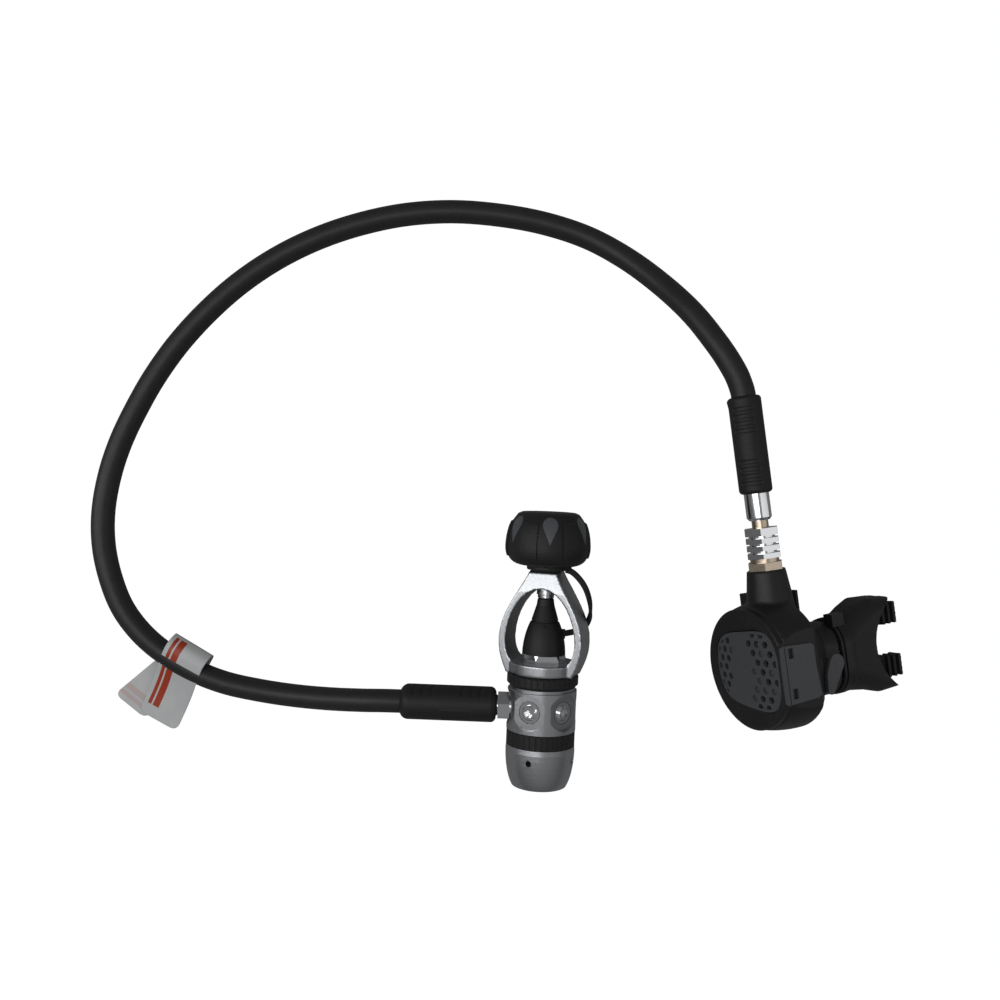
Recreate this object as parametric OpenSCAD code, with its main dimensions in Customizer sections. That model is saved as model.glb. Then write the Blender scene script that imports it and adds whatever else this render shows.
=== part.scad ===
// A yoke-mounted first stage, one low-pressure hose and a demand valve, laid flat on a table.
// Millimetres, +Z up. The first stage lies along Y and the demand valve leans on its outlet tee.

/* [First stage] */
// Length of the end cap
cap_len = 24.8; // [22:0.1:30]
// Radius of the end cap's flat base
cap_base_r = 16.6; // [15:0.1:18]
// Radius of the end cap where it is widest
cap_r = 20.8; // [20.2:0.1:22]
// Radius of each water hole in the end cap
water_hole_r = 1.65; // [1:0.05:2.2]
// Length of the ribbed band between end cap and valve body
cap_band_len = 8.9; // [7:0.1:12]
// Radius of that ribbed band
cap_band_r = 20.6; // [20:0.1:22]
// Radius of the valve body
body_r = 20.8; // [20.4:0.1:22]
// Length of the valve body between its two bands
body_len = 24.7; // [24:0.1:30]
// Radius of the ribbed ring under the yoke
port_band_r = 21.45; // [21:0.05:23]
// Length of the ribbed ring under the yoke
port_band_len = 7.5; // [6:0.1:9]
// Number of ribs round each band
band_ribs = 36; // [24:1:48]
// Distance from the axis to each port's flat
port_flat = 18.5; // [18:0.1:19]
// Radius of each port's threaded bore
port_bore_r = 4.45; // [4:0.05:5]
// Angle between neighbouring ports
port_pitch = 65; // [60:1:65]
// Height of each port plug above its flat
plug_proud = 1.6; // [0.5:0.1:1.8]
// Distance across the flats of each plug's hexagon socket
plug_socket_af = 5; // [4:0.1:5.5]

/* [Yoke and knob] */
// Thickness of the yoke's round foot
yoke_foot_t = 6.9; // [6:0.1:9]
// Half of the yoke's greatest width
yoke_half_w = 25.8; // [25:0.1:28]
// Thickness of each yoke arm at its widest
yoke_arm_t = 4.3; // [3.8:0.1:4.8]
// Depth of the yoke from front to back
yoke_depth = 20; // [18:0.5:22]
// Angle by which the yoke faces away from straight up
yoke_turn = -20; // [-30:1:0]
// Height of the yoke's bridge, which carries the clamping screw
yoke_bridge_h = 10.8; // [9:0.1:14]
// Radius of the clamping screw
screw_r = 5.9; // [5.7:0.05:6.2]
// Distance across the corners of the retainer's hexagon
retainer_ac = 27.3; // [26:0.1:29]
// Height of the retainer's hexagon
retainer_h = 4.8; // [4:0.1:7]
// Radius of the dust cap's foot
dust_cap_r = 13; // [12.2:0.1:13.4]
// Height of the dust cap
dust_cap_h = 33.2; // [30:0.1:36]
// Thickness of the dust cap's strap
strap_t = 2.2; // [1.6:0.1:2.6]
// Width of the dust cap's strap
strap_w = 3.7; // [3:0.1:4.2]
// Greatest radius of the knob
knob_r = 24.75; // [23.5:0.05:27]
// Height of the knob
knob_h = 31.8; // [29:0.1:36]
// Number of inlays round the knob
knob_inlays = 6; // [4:1:6]
// Distance that the grip pads stand out of the knob
pad_proud = 0.9; // [0.4:0.1:1.2]

/* [Hose] */
// Outer diameter of the hose
hose_d = 14; // [12.5:0.1:14.4]
// Length of the sleeve at the first stage
sleeve_first_len = 58; // [50:1:62]
// Radius of the sleeve at the first stage
sleeve_first_r = 10.4; // [9.6:0.1:11]
// Length of the sleeve at the demand valve
sleeve_second_len = 56; // [50:1:58]
// Radius of the sleeve at the demand valve
sleeve_second_r = 9.4; // [9:0.1:9.8]
// Distance across the flats of the hose fitting's hexagon
fitting_af = 15.5; // [14:0.1:17]
// Width of the paper tag, along the hose
tag_w = 28; // [20:1:34]
// Length of the paper tag beyond the hose
tag_len = 36; // [24:1:40]

/* [Demand valve] */
// Radius of the demand valve's case where it is widest
case_r = 37.4; // [37:0.1:39]
// Distance from the inlet's axis to the case's flat side, which carries the panel
flat_at = 30; // [29.5:0.1:31]
// Wall of the case
case_wall = 2.6; // [2:0.1:3]
// Length of the case's shoulder, from its widest part back to the breathing tube
shoulder_len = 21; // [19:0.5:22]
// Distance from the inlet's axis to the case's front rim
case_front = 18.5; // [18:0.1:20]
// Thickness of the front ring outside the case
front_ring_t = 4; // [3.5:0.1:5]
// Radius of the demand valve's front ring
front_ring_r = 34.4; // [34:0.1:35]
// Length of the purge cover, top to bottom
cover_len = 55; // [53:0.5:55]
// Width of the purge cover at its middle
cover_w = 44; // [42:0.2:45]
// Distance across the flats of each hexagonal hole
mesh_af = 3.6; // [3:0.1:3.8]
// Travel of the purge cover
purge_travel = 2.7; // [2:0.1:2.7]
// Radius of the valve barrel
barrel_r = 6.5; // [6:0.1:7]
// Distance from the case's centre to the top of the inlet tower
tower_len = 53.9; // [52:0.1:56]
// Radius of the inlet tower at its top
tower_top_r = 10.9; // [10.7:0.1:12]
// Radius of the inlet tower at its foot
tower_foot_r = 14.2; // [13:0.1:14.4]
// Distance across the flats of the brass inlet hexagon
inlet_af = 18.4; // [17:0.1:20]
// Distance across the flats of the finned nut
fin_af = 18; // [16.5:0.1:19]
// Number of fins on the swivel nut
fin_count = 4; // [3:1:6]
// Width of the breathing tube
tube_w = 43.5; // [40:0.5:44]
// Height of the breathing tube
tube_h = 30; // [28:0.5:31]
// Distance from the inlet's axis to the end of the breathing tube
tube_end = 49; // [48:0.5:52]
// Half of the exhaust tee's width
tee_half_w = 39; // [34:0.5:40]
// Width of the mouthpiece across its two wings
wings_w = 56; // [54:0.5:57]
// Height of the mouthpiece's flange
flange_h = 31; // [28:0.5:31]

/* [Layout] */
// Distance from the origin to the first stage's axis
stage_x = -94.7; // [-110:0.1:-90]
// Distance from the origin to the inlet's axis
second_x = 38.4; // [30:0.1:45]
// Offset of the demand valve along the first stage
second_y = 1.1; // [-5:0.1:5]
// Height of the inlet's axis above the table
inlet_h = 51; // [50.9:0.1:52]
// Lean of the demand valve's front from straight up
second_lean = 66; // [66:0.1:67]
// Turn of the demand valve about the vertical
second_turn = 9.5; // [8:0.1:11]

/* [Hidden] */
$fn = 48;
// Overlap by which one cut or union passes a face
over = 0.1;
// Clearance of a running fit, on the radius
run_gap = 0.05;
// Clearance between a soft or curved piece and its seat
seat_gap = 0.3;

// Levels along the first stage's axis, counted from the end cap's base
z_band = cap_len;
z_body = z_band + cap_band_len;
lip_h = 1.6;
z_port_band = z_body + body_len + lip_h;
z_yoke = z_port_band + port_band_len;
z_retainer = z_yoke + yoke_foot_t;
z_dust_cap = z_retainer + retainer_h;
z_foot = z_dust_cap + dust_cap_h;
foot_h = 5.2;
z_bridge = z_foot + foot_h + 1.2;
z_strap_ring = z_bridge + yoke_bridge_h;
strap_ring_h = 2.6;
z_knob = z_strap_ring + strap_ring_h + 0.2;
stage_len = z_knob + knob_h;
z_port = z_body + body_len / 2 + 0.75;

// The stage lies on the knob's and the end cap's widest rings
cap_rest_z = cap_len * 0.88;
knob_rest_z = z_knob + knob_h * 0.36;
lay_tilt = atan2(knob_r - cap_r, knob_rest_z - cap_rest_z);
stage_y = -stage_len / 2;
stage_z = cap_r * cos(lay_tilt) - cap_rest_z * sin(lay_tilt);

// Ports
port_azimuths = [for (i = [0:4]) -90 + i * port_pitch];
port_recess_r = port_bore_r + 2.2;
port_recess = 2.4;
port_depth = 9.5;
seal_wire_r = 0.75;
stage_wire_r = 0.45;
spot_face_r = 10.75;
// The drillings from the chamber under the diaphragm up to the ports
drilling_r = 1.4;
drilling_at = 11;

// End cap and diaphragm
cap_floor = 4;
cap_bore_r = 12.95;
band_seat_r = 18.4;
cap_nose_r = 16.5;
cap_nose_h = 2.2;
diaphragm_t = 1;
adjuster_h = 4;
spring_pad_t = 1.5;
z_adjuster = cap_floor + 1;
z_main_spring = z_adjuster + adjuster_h;
z_diaphragm = z_band + cap_nose_h;
z_pad = z_diaphragm - 4.4;
z_lifter = z_diaphragm + diaphragm_t;
chamber_r = 13;
z_web = z_lifter + 4;
web_t = 4;
z_seat = z_web + web_t;
seat_h = 4.2;
valve_lift = 0.7;
z_valve = z_seat + seat_h + valve_lift;
valve_bore_r = 6.5;
retainer_neck_r = 12;
z_neck = z_port_band + 0.3;
z_balance = z_neck - 6.5;
pin_hole_r = 2.2;

// Yoke outline, half of it, as curves between a few points
yoke_wide_z = z_retainer + 13;
bridge_half_w = 8.2;
window_half_w = yoke_half_w - yoke_arm_t;
hub_r = 9;
hub_at = 3;
hub_top = knob_h * 0.8;
foot_floor = 1.5;
foot_pin_r = 2.5;
inlay_t = 1.2;
dust_cap_recess_r = 9.8;

// Hose fittings, measured outwards from the first stage's axis
fitting_out = port_flat + 7.9;
ferrule_len = 18;
sleeve_first_at = fitting_out + 1;
hose_r = hose_d / 2;
sleeve_bore_r = hose_r + seat_gap;
ferrule_r = 7.1;
hose_first_at = fitting_out + ferrule_len;
// Passage through the fittings, and the shank round it
passage_r = 2.2;
shank_r = 3.6;

// Fittings on the inlet, measured outwards from the demand valve's centre
inlet_hex_h = 4.4;
lower_neck_h = 2.4;
lower_neck_r = 8.15;
fins_at = tower_len + inlet_hex_h + lower_neck_h;
fins_h = 17.3;
fin_t = 2.9;
top_fin_t = 4.3;
upper_neck_r = 4.7;
ferrule_second_at = fins_at + fins_h + 4.4;
ferrule_second_len = 15.5;
sleeve_second_at = ferrule_second_at + ferrule_second_len;
hose_second_at = sleeve_second_at + 4;
nut_bore_r = 6.2;
nut_bore_h = 8.8;

// Demand valve, measured forwards from the inlet's axis
cover_front = case_front + front_ring_t;
cover_t = 2.2;
cover_gap = 0.4;
dome_r = 190;
dome_rise = 0.9;
// The ring's face is dished by this much towards the cover
dish = 1.8;
edge_sag = pow(cover_len / 2, 2) / 2 / (dome_r - cover_t);
cover_edge = cover_front + dome_rise - cover_t - edge_sag;
mesh_row = 5.1;
mesh_step = 6.6;
shelf = case_front - 5.3;
seat_r = flat_at - 2.2;
shelf_r = seat_r - 2.1;
rim_t = 1.5;
disc_r = seat_r - 13.7;
spider_t = 1;
spider_at = cover_edge - purge_travel - 0.2 - spider_t;
disc_t = 1.25;
disc_top = case_front - 4.1;
lever_top = disc_top - disc_t - 0.95;
purge_boss_r = 5.5;
orifice_at = 8;
pivot_at = -12;
pin_r = 1.2;

// Shoulder, breathing tube and what is on it; tube_y is the tube's offset along the inlet
widest_at = -3;
tube_at = widest_at - shoulder_len;
tube_y = -3.2;
waist_at = widest_at - 9.5;
waist_r = case_r - 9.6;
waist_top = flat_at - 8;
tube_mid = -2;
tube_wall = 2.4;
tube_floor = tube_mid - tube_h / 2;
tube_top = tube_mid + tube_h / 2;
collar_at = -34.8;
step_at = -13;
exhaust_r = 8.2;
exhaust_at = (step_at + collar_at) / 2 - 0.5;
neck_t = 2.6;
neck_at = collar_at - 1.2;
tie_at = neck_at - 2.4;
tie_w = 4.4;
flange_bend_r = 28.4;
flange_at = -62.5;
wing_y = tube_y + 2.2;
flange_t = 2.8;
venturi_at = -21;
venturi_side = -9;
turret_r = 8.2;
turret_top = tube_top + 6;
lever_room_r = 14;

// The hose's free stretch: each point lies on its centre line
HOSE_ROUTE = [
    [-203, -36, 20], [-224, -37, 14.5], [-246, -37, 9], [-268, -35, 7], [-290, -31, 7], [-310, -24, 7],
    [-328, -14, 7], [-343, -2, 7], [-355, 13, 7], [-363, 31, 7], [-368, 51, 7], [-369, 72, 7],
    [-366, 94, 7], [-360, 115, 7], [-351, 136, 7], [-340, 157, 7], [-326, 178, 7], [-309, 198, 7],
    [-290, 216, 7], [-268, 232, 7], [-244, 245, 7], [-218, 255, 7], [-190, 262, 7], [-161, 265, 7],
    [-132, 264, 7], [-104, 260, 7], [-77, 252, 8], [-53, 240, 13], [-32, 223, 24], [-14, 203, 38],
    [2, 182, 47]
];
// The strap's centre line: its height is a share of the way from the dust cap to the strap's ring
STRAP_SHARES = [
    [11.6, 3, 0.234], [17, 4.6, 0.252], [21.6, 5.2, 0.282], [25.2, 4.8, 0.345], [27.2, 3.6, 0.45],
    [27.2, 2.6, 0.57], [25.8, 1.6, 0.69], [23.2, 0.8, 0.81], [19.4, 0.4, 0.91], [15.2, 0.2, 0.982],
    [11.4, 0, 1.008]
];
STRAP_ROUTE = [for (p = STRAP_SHARES) [p.x, p.y, z_dust_cap + p.z * (z_strap_ring - z_dust_cap)]];

// Points of a cubic curve between a and d
function bez(a, b, c, d, n = 8) =
    [for (i = [0:n]) let (t = i / n, u = 1 - t) u*u*u*a + 3*u*u*t*b + 3*u*t*t*c + t*t*t*d];
function backwards(list) = [for (i = [len(list) - 1:-1:0]) list[i]];
function both_sides(half) = concat(half, [for (p = backwards(half)) [-p.x, p.y]]);
function unit(v) = v / norm(v);
function ring_section(rx, ry, sides) =
    [for (i = [0:sides - 1]) [rx * cos(360 * i / sides), ry * sin(360 * i / sides)]];

// A solid with one section carried along a path
module swept(path, section, up = [0, 0, 1]) {
    m = len(section);
    n = len(path);
    rings = [for (i = [0:n - 1])
        let (t = unit(path[min(i + 1, n - 1)] - path[max(i - 1, 0)]),
             side = unit(cross(t, up)), top = cross(side, t))
        for (q = section) path[i] + q.x * side + q.y * top];
    walls = [for (i = [0:n - 2]) for (j = [0:m - 1])
        let (a = i * m + j, b = i * m + (j + 1) % m)
        for (face = [[a, b, b + m], [a, b + m, a + m]]) face];
    polyhedron(rings, concat([[for (j = [m - 1:-1:0]) j]], walls,
        [[for (j = [0:m - 1]) (n - 1) * m + j]]));
}

// A spring of round wire, standing on z = 0
module coil(mean_r, wire_r, turns, height) {
    steps = 14;
    count = turns * steps;
    path = [for (i = [0:count]) let (a = 360 * i / steps)
        [mean_r * cos(a), mean_r * sin(a), wire_r + (height - 2 * wire_r) * i / count]];
    swept(path, ring_section(wire_r * 0.98, wire_r * 0.98, 6));
}

module tube_ring(r_out, r_in, height) {
    difference() {
        cylinder(r = r_out, h = height);
        translate([0, 0, -over]) cylinder(r = r_in, h = height + 2 * over);
    }
}

module o_ring(mean_r, wire_r) {
    rotate_extrude() translate([mean_r, 0]) circle(wire_r);
}

module hexagon(af, height) {
    cylinder(d = af / cos(30), h = height, $fn = 6);
}

// A flat outline with two round ends, wide along y
module stadium(w, h) {
    for (side = [-1, 1]) translate([0, side * (w - h) / 2]) circle(d = h);
    square([h, w - h], center = true);
}

// First stage's frame: z runs along its axis from the end cap's base, -y points up
module on_stage() {
    translate([stage_x, stage_y, stage_z]) rotate([lay_tilt - 90, 0, 0]) children();
}

// z points out of the port at this azimuth, from the axis
module on_port(azimuth) {
    translate([0, 0, z_port]) rotate([0, 0, azimuth]) rotate([90, 0, 0]) children();
}

// Demand valve's frame: z points out of its front, y along its inlet, x up its side
module on_second() {
    translate([second_x, second_y, inlet_h])
        rotate([0, 0, second_turn]) rotate([0, -second_lean, 0]) children();
}

// z points out of the demand valve's inlet, from its centre
module on_inlet() {
    on_second() rotate([-90, 0, 0]) children();
}

function stage_point(p) = [
    stage_x + p.x,
    stage_y + p.z * cos(lay_tilt) + p.y * sin(lay_tilt),
    stage_z + p.z * sin(lay_tilt) - p.y * cos(lay_tilt)
];
function inlet_point(along) =
    [second_x - along * sin(second_turn), second_y + along * cos(second_turn), inlet_h];

// ---- First stage ----

function cap_side() = bez([cap_base_r, 0], [cap_base_r + 0.55 * (cap_r - cap_base_r), 0.16 * cap_len],
    [cap_r, 0.48 * cap_len], [cap_r, 0.88 * cap_len]);

module end_cap() {
    color("silver") on_stage() difference() {
        rotate_extrude() polygon(concat([[0, 0]], cap_side(),
            [[cap_r - 0.2, cap_len], [cap_nose_r, cap_len], [cap_nose_r, z_diaphragm], [0, z_diaphragm]]));
        translate([0, 0, cap_floor]) cylinder(r = cap_bore_r, h = z_diaphragm);
        translate([0, 0, -over]) cylinder(r = cap_bore_r - 4, h = cap_floor + 2 * over);
        for (i = [0:3]) translate([0, 0, 0.68 * cap_len]) rotate([0, 0, -22 + 90 * i])
            rotate([90, 0, 0]) {
                cylinder(r = water_hole_r, h = cap_r + over);
                translate([0, 0, cap_r - 0.9])
                    cylinder(r1 = water_hole_r, r2 = water_hole_r + 1, h = 1.1);
            }
    }
}

// A ring with ribs along the axis, standing on z = 0
module ribbed_ring(r_out, r_in, height, low_chamfer, high_chamfer) {
    notch_r = 0.55;
    intersection() {
        linear_extrude(height) difference() {
            circle(r_out);
            circle(r_in);
            for (i = [0:band_ribs - 1]) rotate(360 * i / band_ribs)
                translate([r_out + 0.1, 0]) circle(notch_r);
        }
        rotate_extrude() polygon([[r_in - 1, 0], [r_out - low_chamfer, 0], [r_out, low_chamfer],
            [r_out, height - high_chamfer], [r_out - high_chamfer, height], [r_in - 1, height]]);
    }
}

module cap_band() {
    color("#1c1c1e") on_stage() translate([0, 0, z_band])
        ribbed_ring(cap_band_r, band_seat_r + run_gap, cap_band_len, 0.4, 0.4);
}

module port_band() {
    color("#1c1c1e") on_stage() translate([0, 0, z_port_band])
        ribbed_ring(port_band_r, band_seat_r + run_gap, port_band_len, 2, 0.8);
}

module stage_body() {
    color("silver") on_stage() difference() {
        rotate_extrude() polygon([[0, z_band], [band_seat_r, z_band], [band_seat_r, z_body],
            [body_r - 0.3, z_body], [body_r, z_body + 0.3], [body_r, z_body + body_len - 0.3],
            [body_r - 0.3, z_body + body_len], [body_r - 1.2, z_body + body_len],
            [body_r - 1.2, z_port_band], [band_seat_r, z_port_band], [band_seat_r, z_yoke], [0, z_yoke]]);
        translate([0, 0, z_band - over]) cylinder(r = cap_nose_r + run_gap, h = z_lifter - z_band + over);
        translate([0, 0, z_lifter - over]) cylinder(r = chamber_r, h = z_web - z_lifter + over);
        translate([0, 0, z_web - over]) cylinder(r = pin_hole_r, h = web_t + 2 * over);
        translate([0, 0, z_seat]) cylinder(r = valve_bore_r, h = z_yoke);
        translate([0, 0, z_port_band]) cylinder(r = retainer_neck_r + run_gap, h = z_yoke);
        for (a = port_azimuths) {
            on_port(a) {
                translate([0, 0, port_flat - port_depth]) cylinder(r = port_bore_r, h = port_depth);
                translate([0, 0, port_flat - port_recess]) cylinder(r = port_recess_r, h = port_depth);
                translate([0, 0, port_flat]) cylinder(r = spot_face_r, h = port_depth);
            }
            rotate([0, 0, a]) translate([0, -drilling_at, z_web - 1])
                cylinder(r = drilling_r, h = z_port - z_web);
        }
    }
}

module port_plugs() {
    stem_r = port_bore_r - run_gap;
    color("#e8e8ea") on_stage() for (i = [1:4]) on_port(port_azimuths[i]) difference() {
        union() {
            translate([0, 0, port_flat - port_depth + 1])
                cylinder(r = stem_r, h = port_depth - 1 + plug_proud - 0.6);
            translate([0, 0, port_flat + plug_proud - 0.6])
                cylinder(r1 = stem_r, r2 = stem_r - 0.6, h = 0.6);
            translate([0, 0, port_flat - port_recess + 2 * seal_wire_r])
                cylinder(r = port_recess_r - seat_gap, h = port_recess - 2 * seal_wire_r - 0.1);
        }
        translate([0, 0, port_flat + plug_proud - 3.5]) hexagon(plug_socket_af, 4);
    }
}

module port_plug_seals() {
    color("#202020") on_stage() for (i = [1:4]) on_port(port_azimuths[i])
        translate([0, 0, port_flat - port_recess + seal_wire_r])
            o_ring(port_bore_r + seal_wire_r, seal_wire_r);
}

module stage_seals() {
    color("#202020") on_stage() {
        translate([0, 0, z_neck + 3]) o_ring(retainer_neck_r + run_gap - stage_wire_r, stage_wire_r);
        translate([0, 0, z_balance + 1.6]) o_ring(valve_bore_r - stage_wire_r, stage_wire_r);
    }
}

module spring_adjuster() {
    color("#b8a06a") on_stage() translate([0, 0, z_adjuster]) difference() {
        cylinder(r = cap_bore_r - run_gap, h = adjuster_h);
        translate([0, 0, -over]) hexagon(8, adjuster_h + 2 * over);
    }
}

module main_spring() {
    color("#9aa0a6") on_stage() translate([0, 0, z_main_spring]) coil(9.6, 1.35, 4, z_pad - z_main_spring);
}

module spring_pad() {
    color("#b8a06a") on_stage() translate([0, 0, z_pad]) {
        cylinder(r = cap_bore_r - 1, h = spring_pad_t);
        cylinder(r = 9, h = z_diaphragm - z_pad);
    }
}

module stage_diaphragm() {
    color("#26262a") on_stage() translate([0, 0, z_diaphragm]) cylinder(r = cap_nose_r, h = diaphragm_t);
}

module valve_lifter() {
    color("#c9b27a") on_stage() translate([0, 0, z_lifter]) {
        cylinder(r = 9, h = 1.5);
        cylinder(r = 1.2, h = z_valve - z_lifter);
    }
}

module valve_seat() {
    color("#c9b27a") on_stage() translate([0, 0, z_seat]) difference() {
        union() {
            cylinder(r = valve_bore_r - run_gap, h = seat_h - 0.8);
            cylinder(r = 3, h = seat_h);
        }
        translate([0, 0, -over]) cylinder(r = pin_hole_r, h = seat_h + 2 * over);
    }
}

module stage_valve() {
    color("#d8d8dc") on_stage() translate([0, 0, z_valve]) {
        cylinder(r = 3.4, h = 2);
        cylinder(r = 2.2, h = z_balance + 1.8 - z_valve);
    }
}

module stage_valve_spring() {
    color("#9aa0a6") on_stage() translate([0, 0, z_valve + 2])
        coil(3, 0.35, 6, z_balance - z_valve - 2);
}

module balance_plug() {
    color("#c9b27a") on_stage() translate([0, 0, z_balance]) difference() {
        cylinder(r = valve_bore_r - run_gap, h = 4);
        translate([0, 0, -over]) cylinder(r = pin_hole_r + run_gap, h = 3);
        for (i = [0:2]) rotate([0, 0, 120 * i]) translate([4.1, 0, -over]) cylinder(r = 1.1, h = 5);
        translate([0, 0, 1.6]) o_ring(valve_bore_r - stage_wire_r, stage_wire_r);
    }
}

module yoke_outline() {
    outer = concat(
        bez([20.4, z_yoke], [22.6, z_yoke + 5], [yoke_half_w, yoke_wide_z - 9], [yoke_half_w, yoke_wide_z]),
        bez([yoke_half_w, yoke_wide_z], [yoke_half_w, yoke_wide_z + 15],
            [bridge_half_w + 7.5, z_bridge - 5], [bridge_half_w + 1.2, z_strap_ring - 3]),
        [[bridge_half_w, z_strap_ring]]);
    polygon(both_sides(outer));
}

module window_outline() {
    inner = concat(
        bez([15.5, z_retainer], [18.6, z_retainer + 1], [window_half_w, z_retainer + 5],
            [window_half_w, yoke_wide_z]),
        bez([window_half_w, yoke_wide_z], [window_half_w, yoke_wide_z + 13],
            [13, z_bridge], [0, z_bridge]));
    polygon(both_sides(inner));
}

module yoke() {
    color("silver") on_stage() rotate([0, 0, yoke_turn]) difference() {
        union() {
            intersection() {
                rotate([90, 0, 0]) translate([0, 0, -yoke_depth / 2]) linear_extrude(yoke_depth)
                    difference() {
                        yoke_outline();
                        window_outline();
                    }
                rotate([90, 0, 90]) translate([0, 0, -yoke_half_w - 1]) linear_extrude(2 * yoke_half_w + 2)
                    polygon(both_sides([[yoke_depth / 2, z_yoke], [yoke_depth / 2, z_bridge - 2],
                        [yoke_depth / 2 - 1.5, z_strap_ring - 1.5], [yoke_depth / 2 - 3, z_strap_ring]]));
            }
            translate([0, 0, z_yoke]) cylinder(r1 = 20.1, r2 = 20.4, h = 1);
            translate([0, 0, z_yoke + 1]) cylinder(r = 20.4, h = yoke_foot_t - 1);
        }
        translate([0, 0, z_yoke - over])
            cylinder(r = retainer_neck_r + run_gap, h = yoke_foot_t + 2 * over);
        translate([0, 0, z_bridge - 2]) cylinder(r = screw_r + run_gap, h = yoke_bridge_h + 4);
    }
}

module yoke_retainer() {
    color("#e8e8ea") on_stage() difference() {
        union() {
            translate([0, 0, z_retainer]) rotate([0, 0, 8]) intersection() {
                cylinder(d = retainer_ac, h = retainer_h, $fn = 6);
                cylinder(r1 = retainer_ac / 2 + 0.4, r2 = retainer_ac / 2 - 0.6, h = retainer_h);
            }
            translate([0, 0, z_neck]) cylinder(r = retainer_neck_r, h = z_retainer - z_neck + over);
            translate([0, 0, z_dust_cap - over]) cylinder(r = 9.5, h = 1.8 + over);
        }
        translate([0, 0, z_neck - over]) cylinder(r = 4, h = z_dust_cap);
        translate([0, 0, z_retainer - 4.4]) cylinder(r = 6.8, h = z_dust_cap);
        translate([0, 0, z_neck + 3]) o_ring(retainer_neck_r + run_gap - stage_wire_r, stage_wire_r);
    }
}

module inlet_filter() {
    color("#a89878") on_stage() {
        translate([0, 0, z_retainer + 1.6]) cylinder(r = 6.7, h = 1);
        translate([0, 0, z_retainer - 4.3]) cylinder(r1 = 3.6, r2 = 5.6, h = 5.9);
    }
}

module filter_clip() {
    color("#c8ccd0") on_stage() translate([0, 0, z_retainer + 2.6]) tube_ring(6.75, 5.4, 0.9);
}

// ---- Clamping screw, knob and dust cap ----

module yoke_screw() {
    screw_at = z_foot + foot_h + 0.1;
    color("#d8d8dc") on_stage() {
        translate([0, 0, z_foot + foot_floor]) cylinder(r = foot_pin_r, h = foot_h);
        translate([0, 0, screw_at]) cylinder(r = screw_r, h = z_knob + hub_top - screw_at);
    }
}

module knob_hub() {
    color("#b8bcc0") on_stage() translate([0, 0, z_knob + hub_at]) difference() {
        cylinder(r = hub_r, h = hub_top - hub_at, $fn = 24);
        translate([0, 0, -over]) cylinder(r = screw_r, h = knob_h);
    }
}

// The knob's outline, drawn in by d
function knob_side(d) = concat(
    [[knob_r * 0.54, 0]],
    bez([knob_r * 0.7 - d, 0.3], [knob_r * 0.9 - d, 0.045 * knob_h], [knob_r - d, 0.15 * knob_h],
        [knob_r - d, 0.36 * knob_h]),
    bez([knob_r - d, 0.36 * knob_h], [knob_r - 0.3 - d, 0.62 * knob_h], [knob_r * 0.915 - d, 0.8 * knob_h],
        [knob_r * 0.81 - d, 0.9 * knob_h]),
    [[knob_r * 0.74 - d, 0.97 * knob_h], [knob_r * 0.65 - d, knob_h]]);

module knob_solid(d) {
    rotate_extrude() polygon(concat([[0, 0]], knob_side(d), [[0, knob_h]]));
}

// Teardrop outline with its point at the origin and its round end up
module teardrop(length, width) {
    r = width / 2;
    rise = length - r;
    lean = asin(r / rise);
    polygon(concat([[0, 0]], [for (i = [0:10]) let (a = -lean + i * (180 + 2 * lean) / 10)
        [r * cos(a), rise + r * sin(a)]]));
}

// Radial cores with the inlays' outline, wider by this gap
module inlay_cores(gap) {
    for (i = [0:knob_inlays - 1]) rotate([0, 0, 360 * i / knob_inlays]) rotate([90, 0, 0])
        translate([0, knob_h * 0.43, knob_r * 0.5]) linear_extrude(knob_r * 0.6)
            teardrop(knob_h * 0.5 + gap, knob_r * 0.37 + 2 * gap);
}

module knob_grip() {
    top = knob_h * 0.84;
    color("#161618") on_stage() translate([0, 0, z_knob]) difference() {
        union() {
            knob_solid(0);
            for (i = [0:knob_inlays - 1]) rotate([0, 0, 360 * (i + 0.5) / knob_inlays - 12 - 90])
                rotate_extrude(angle = 24) polygon(concat(
                    [[knob_r * 0.7, 0.13 * knob_h]],
                    [for (p = knob_side(0)) if (p.y > 0.16 * knob_h && p.y < top) [p.x + pad_proud, p.y]],
                    [[knob_r * 0.86, top], [knob_r * 0.7, top]]));
        }
        translate([0, 0, -over]) cylinder(r = screw_r + 0.6, h = hub_at + 1);
        translate([0, 0, hub_at]) cylinder(r = hub_r, h = hub_top - hub_at);
        intersection() {
            inlay_cores(0);
            difference() {
                knob_solid(-1);
                knob_solid(inlay_t);
            }
        }
    }
}

module knob_inlays_set() {
    color("#6e7278") on_stage() translate([0, 0, z_knob]) intersection() {
        inlay_cores(-0.05);
        difference() {
            knob_solid(0);
            knob_solid(inlay_t - 0.02);
        }
    }
}

module screw_foot() {
    color("#e8e8ea") on_stage() translate([0, 0, z_foot]) difference() {
        rotate_extrude() polygon([[0, 0], [3.9, 0], [4.9, 0.6], [4.9, 2.2], [5.6, 2.6], [5.6, foot_h - 0.4],
            [5.2, foot_h], [0, foot_h]]);
        translate([0, 0, foot_floor - run_gap]) cylinder(r = foot_pin_r + run_gap, h = foot_h);
    }
}

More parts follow.
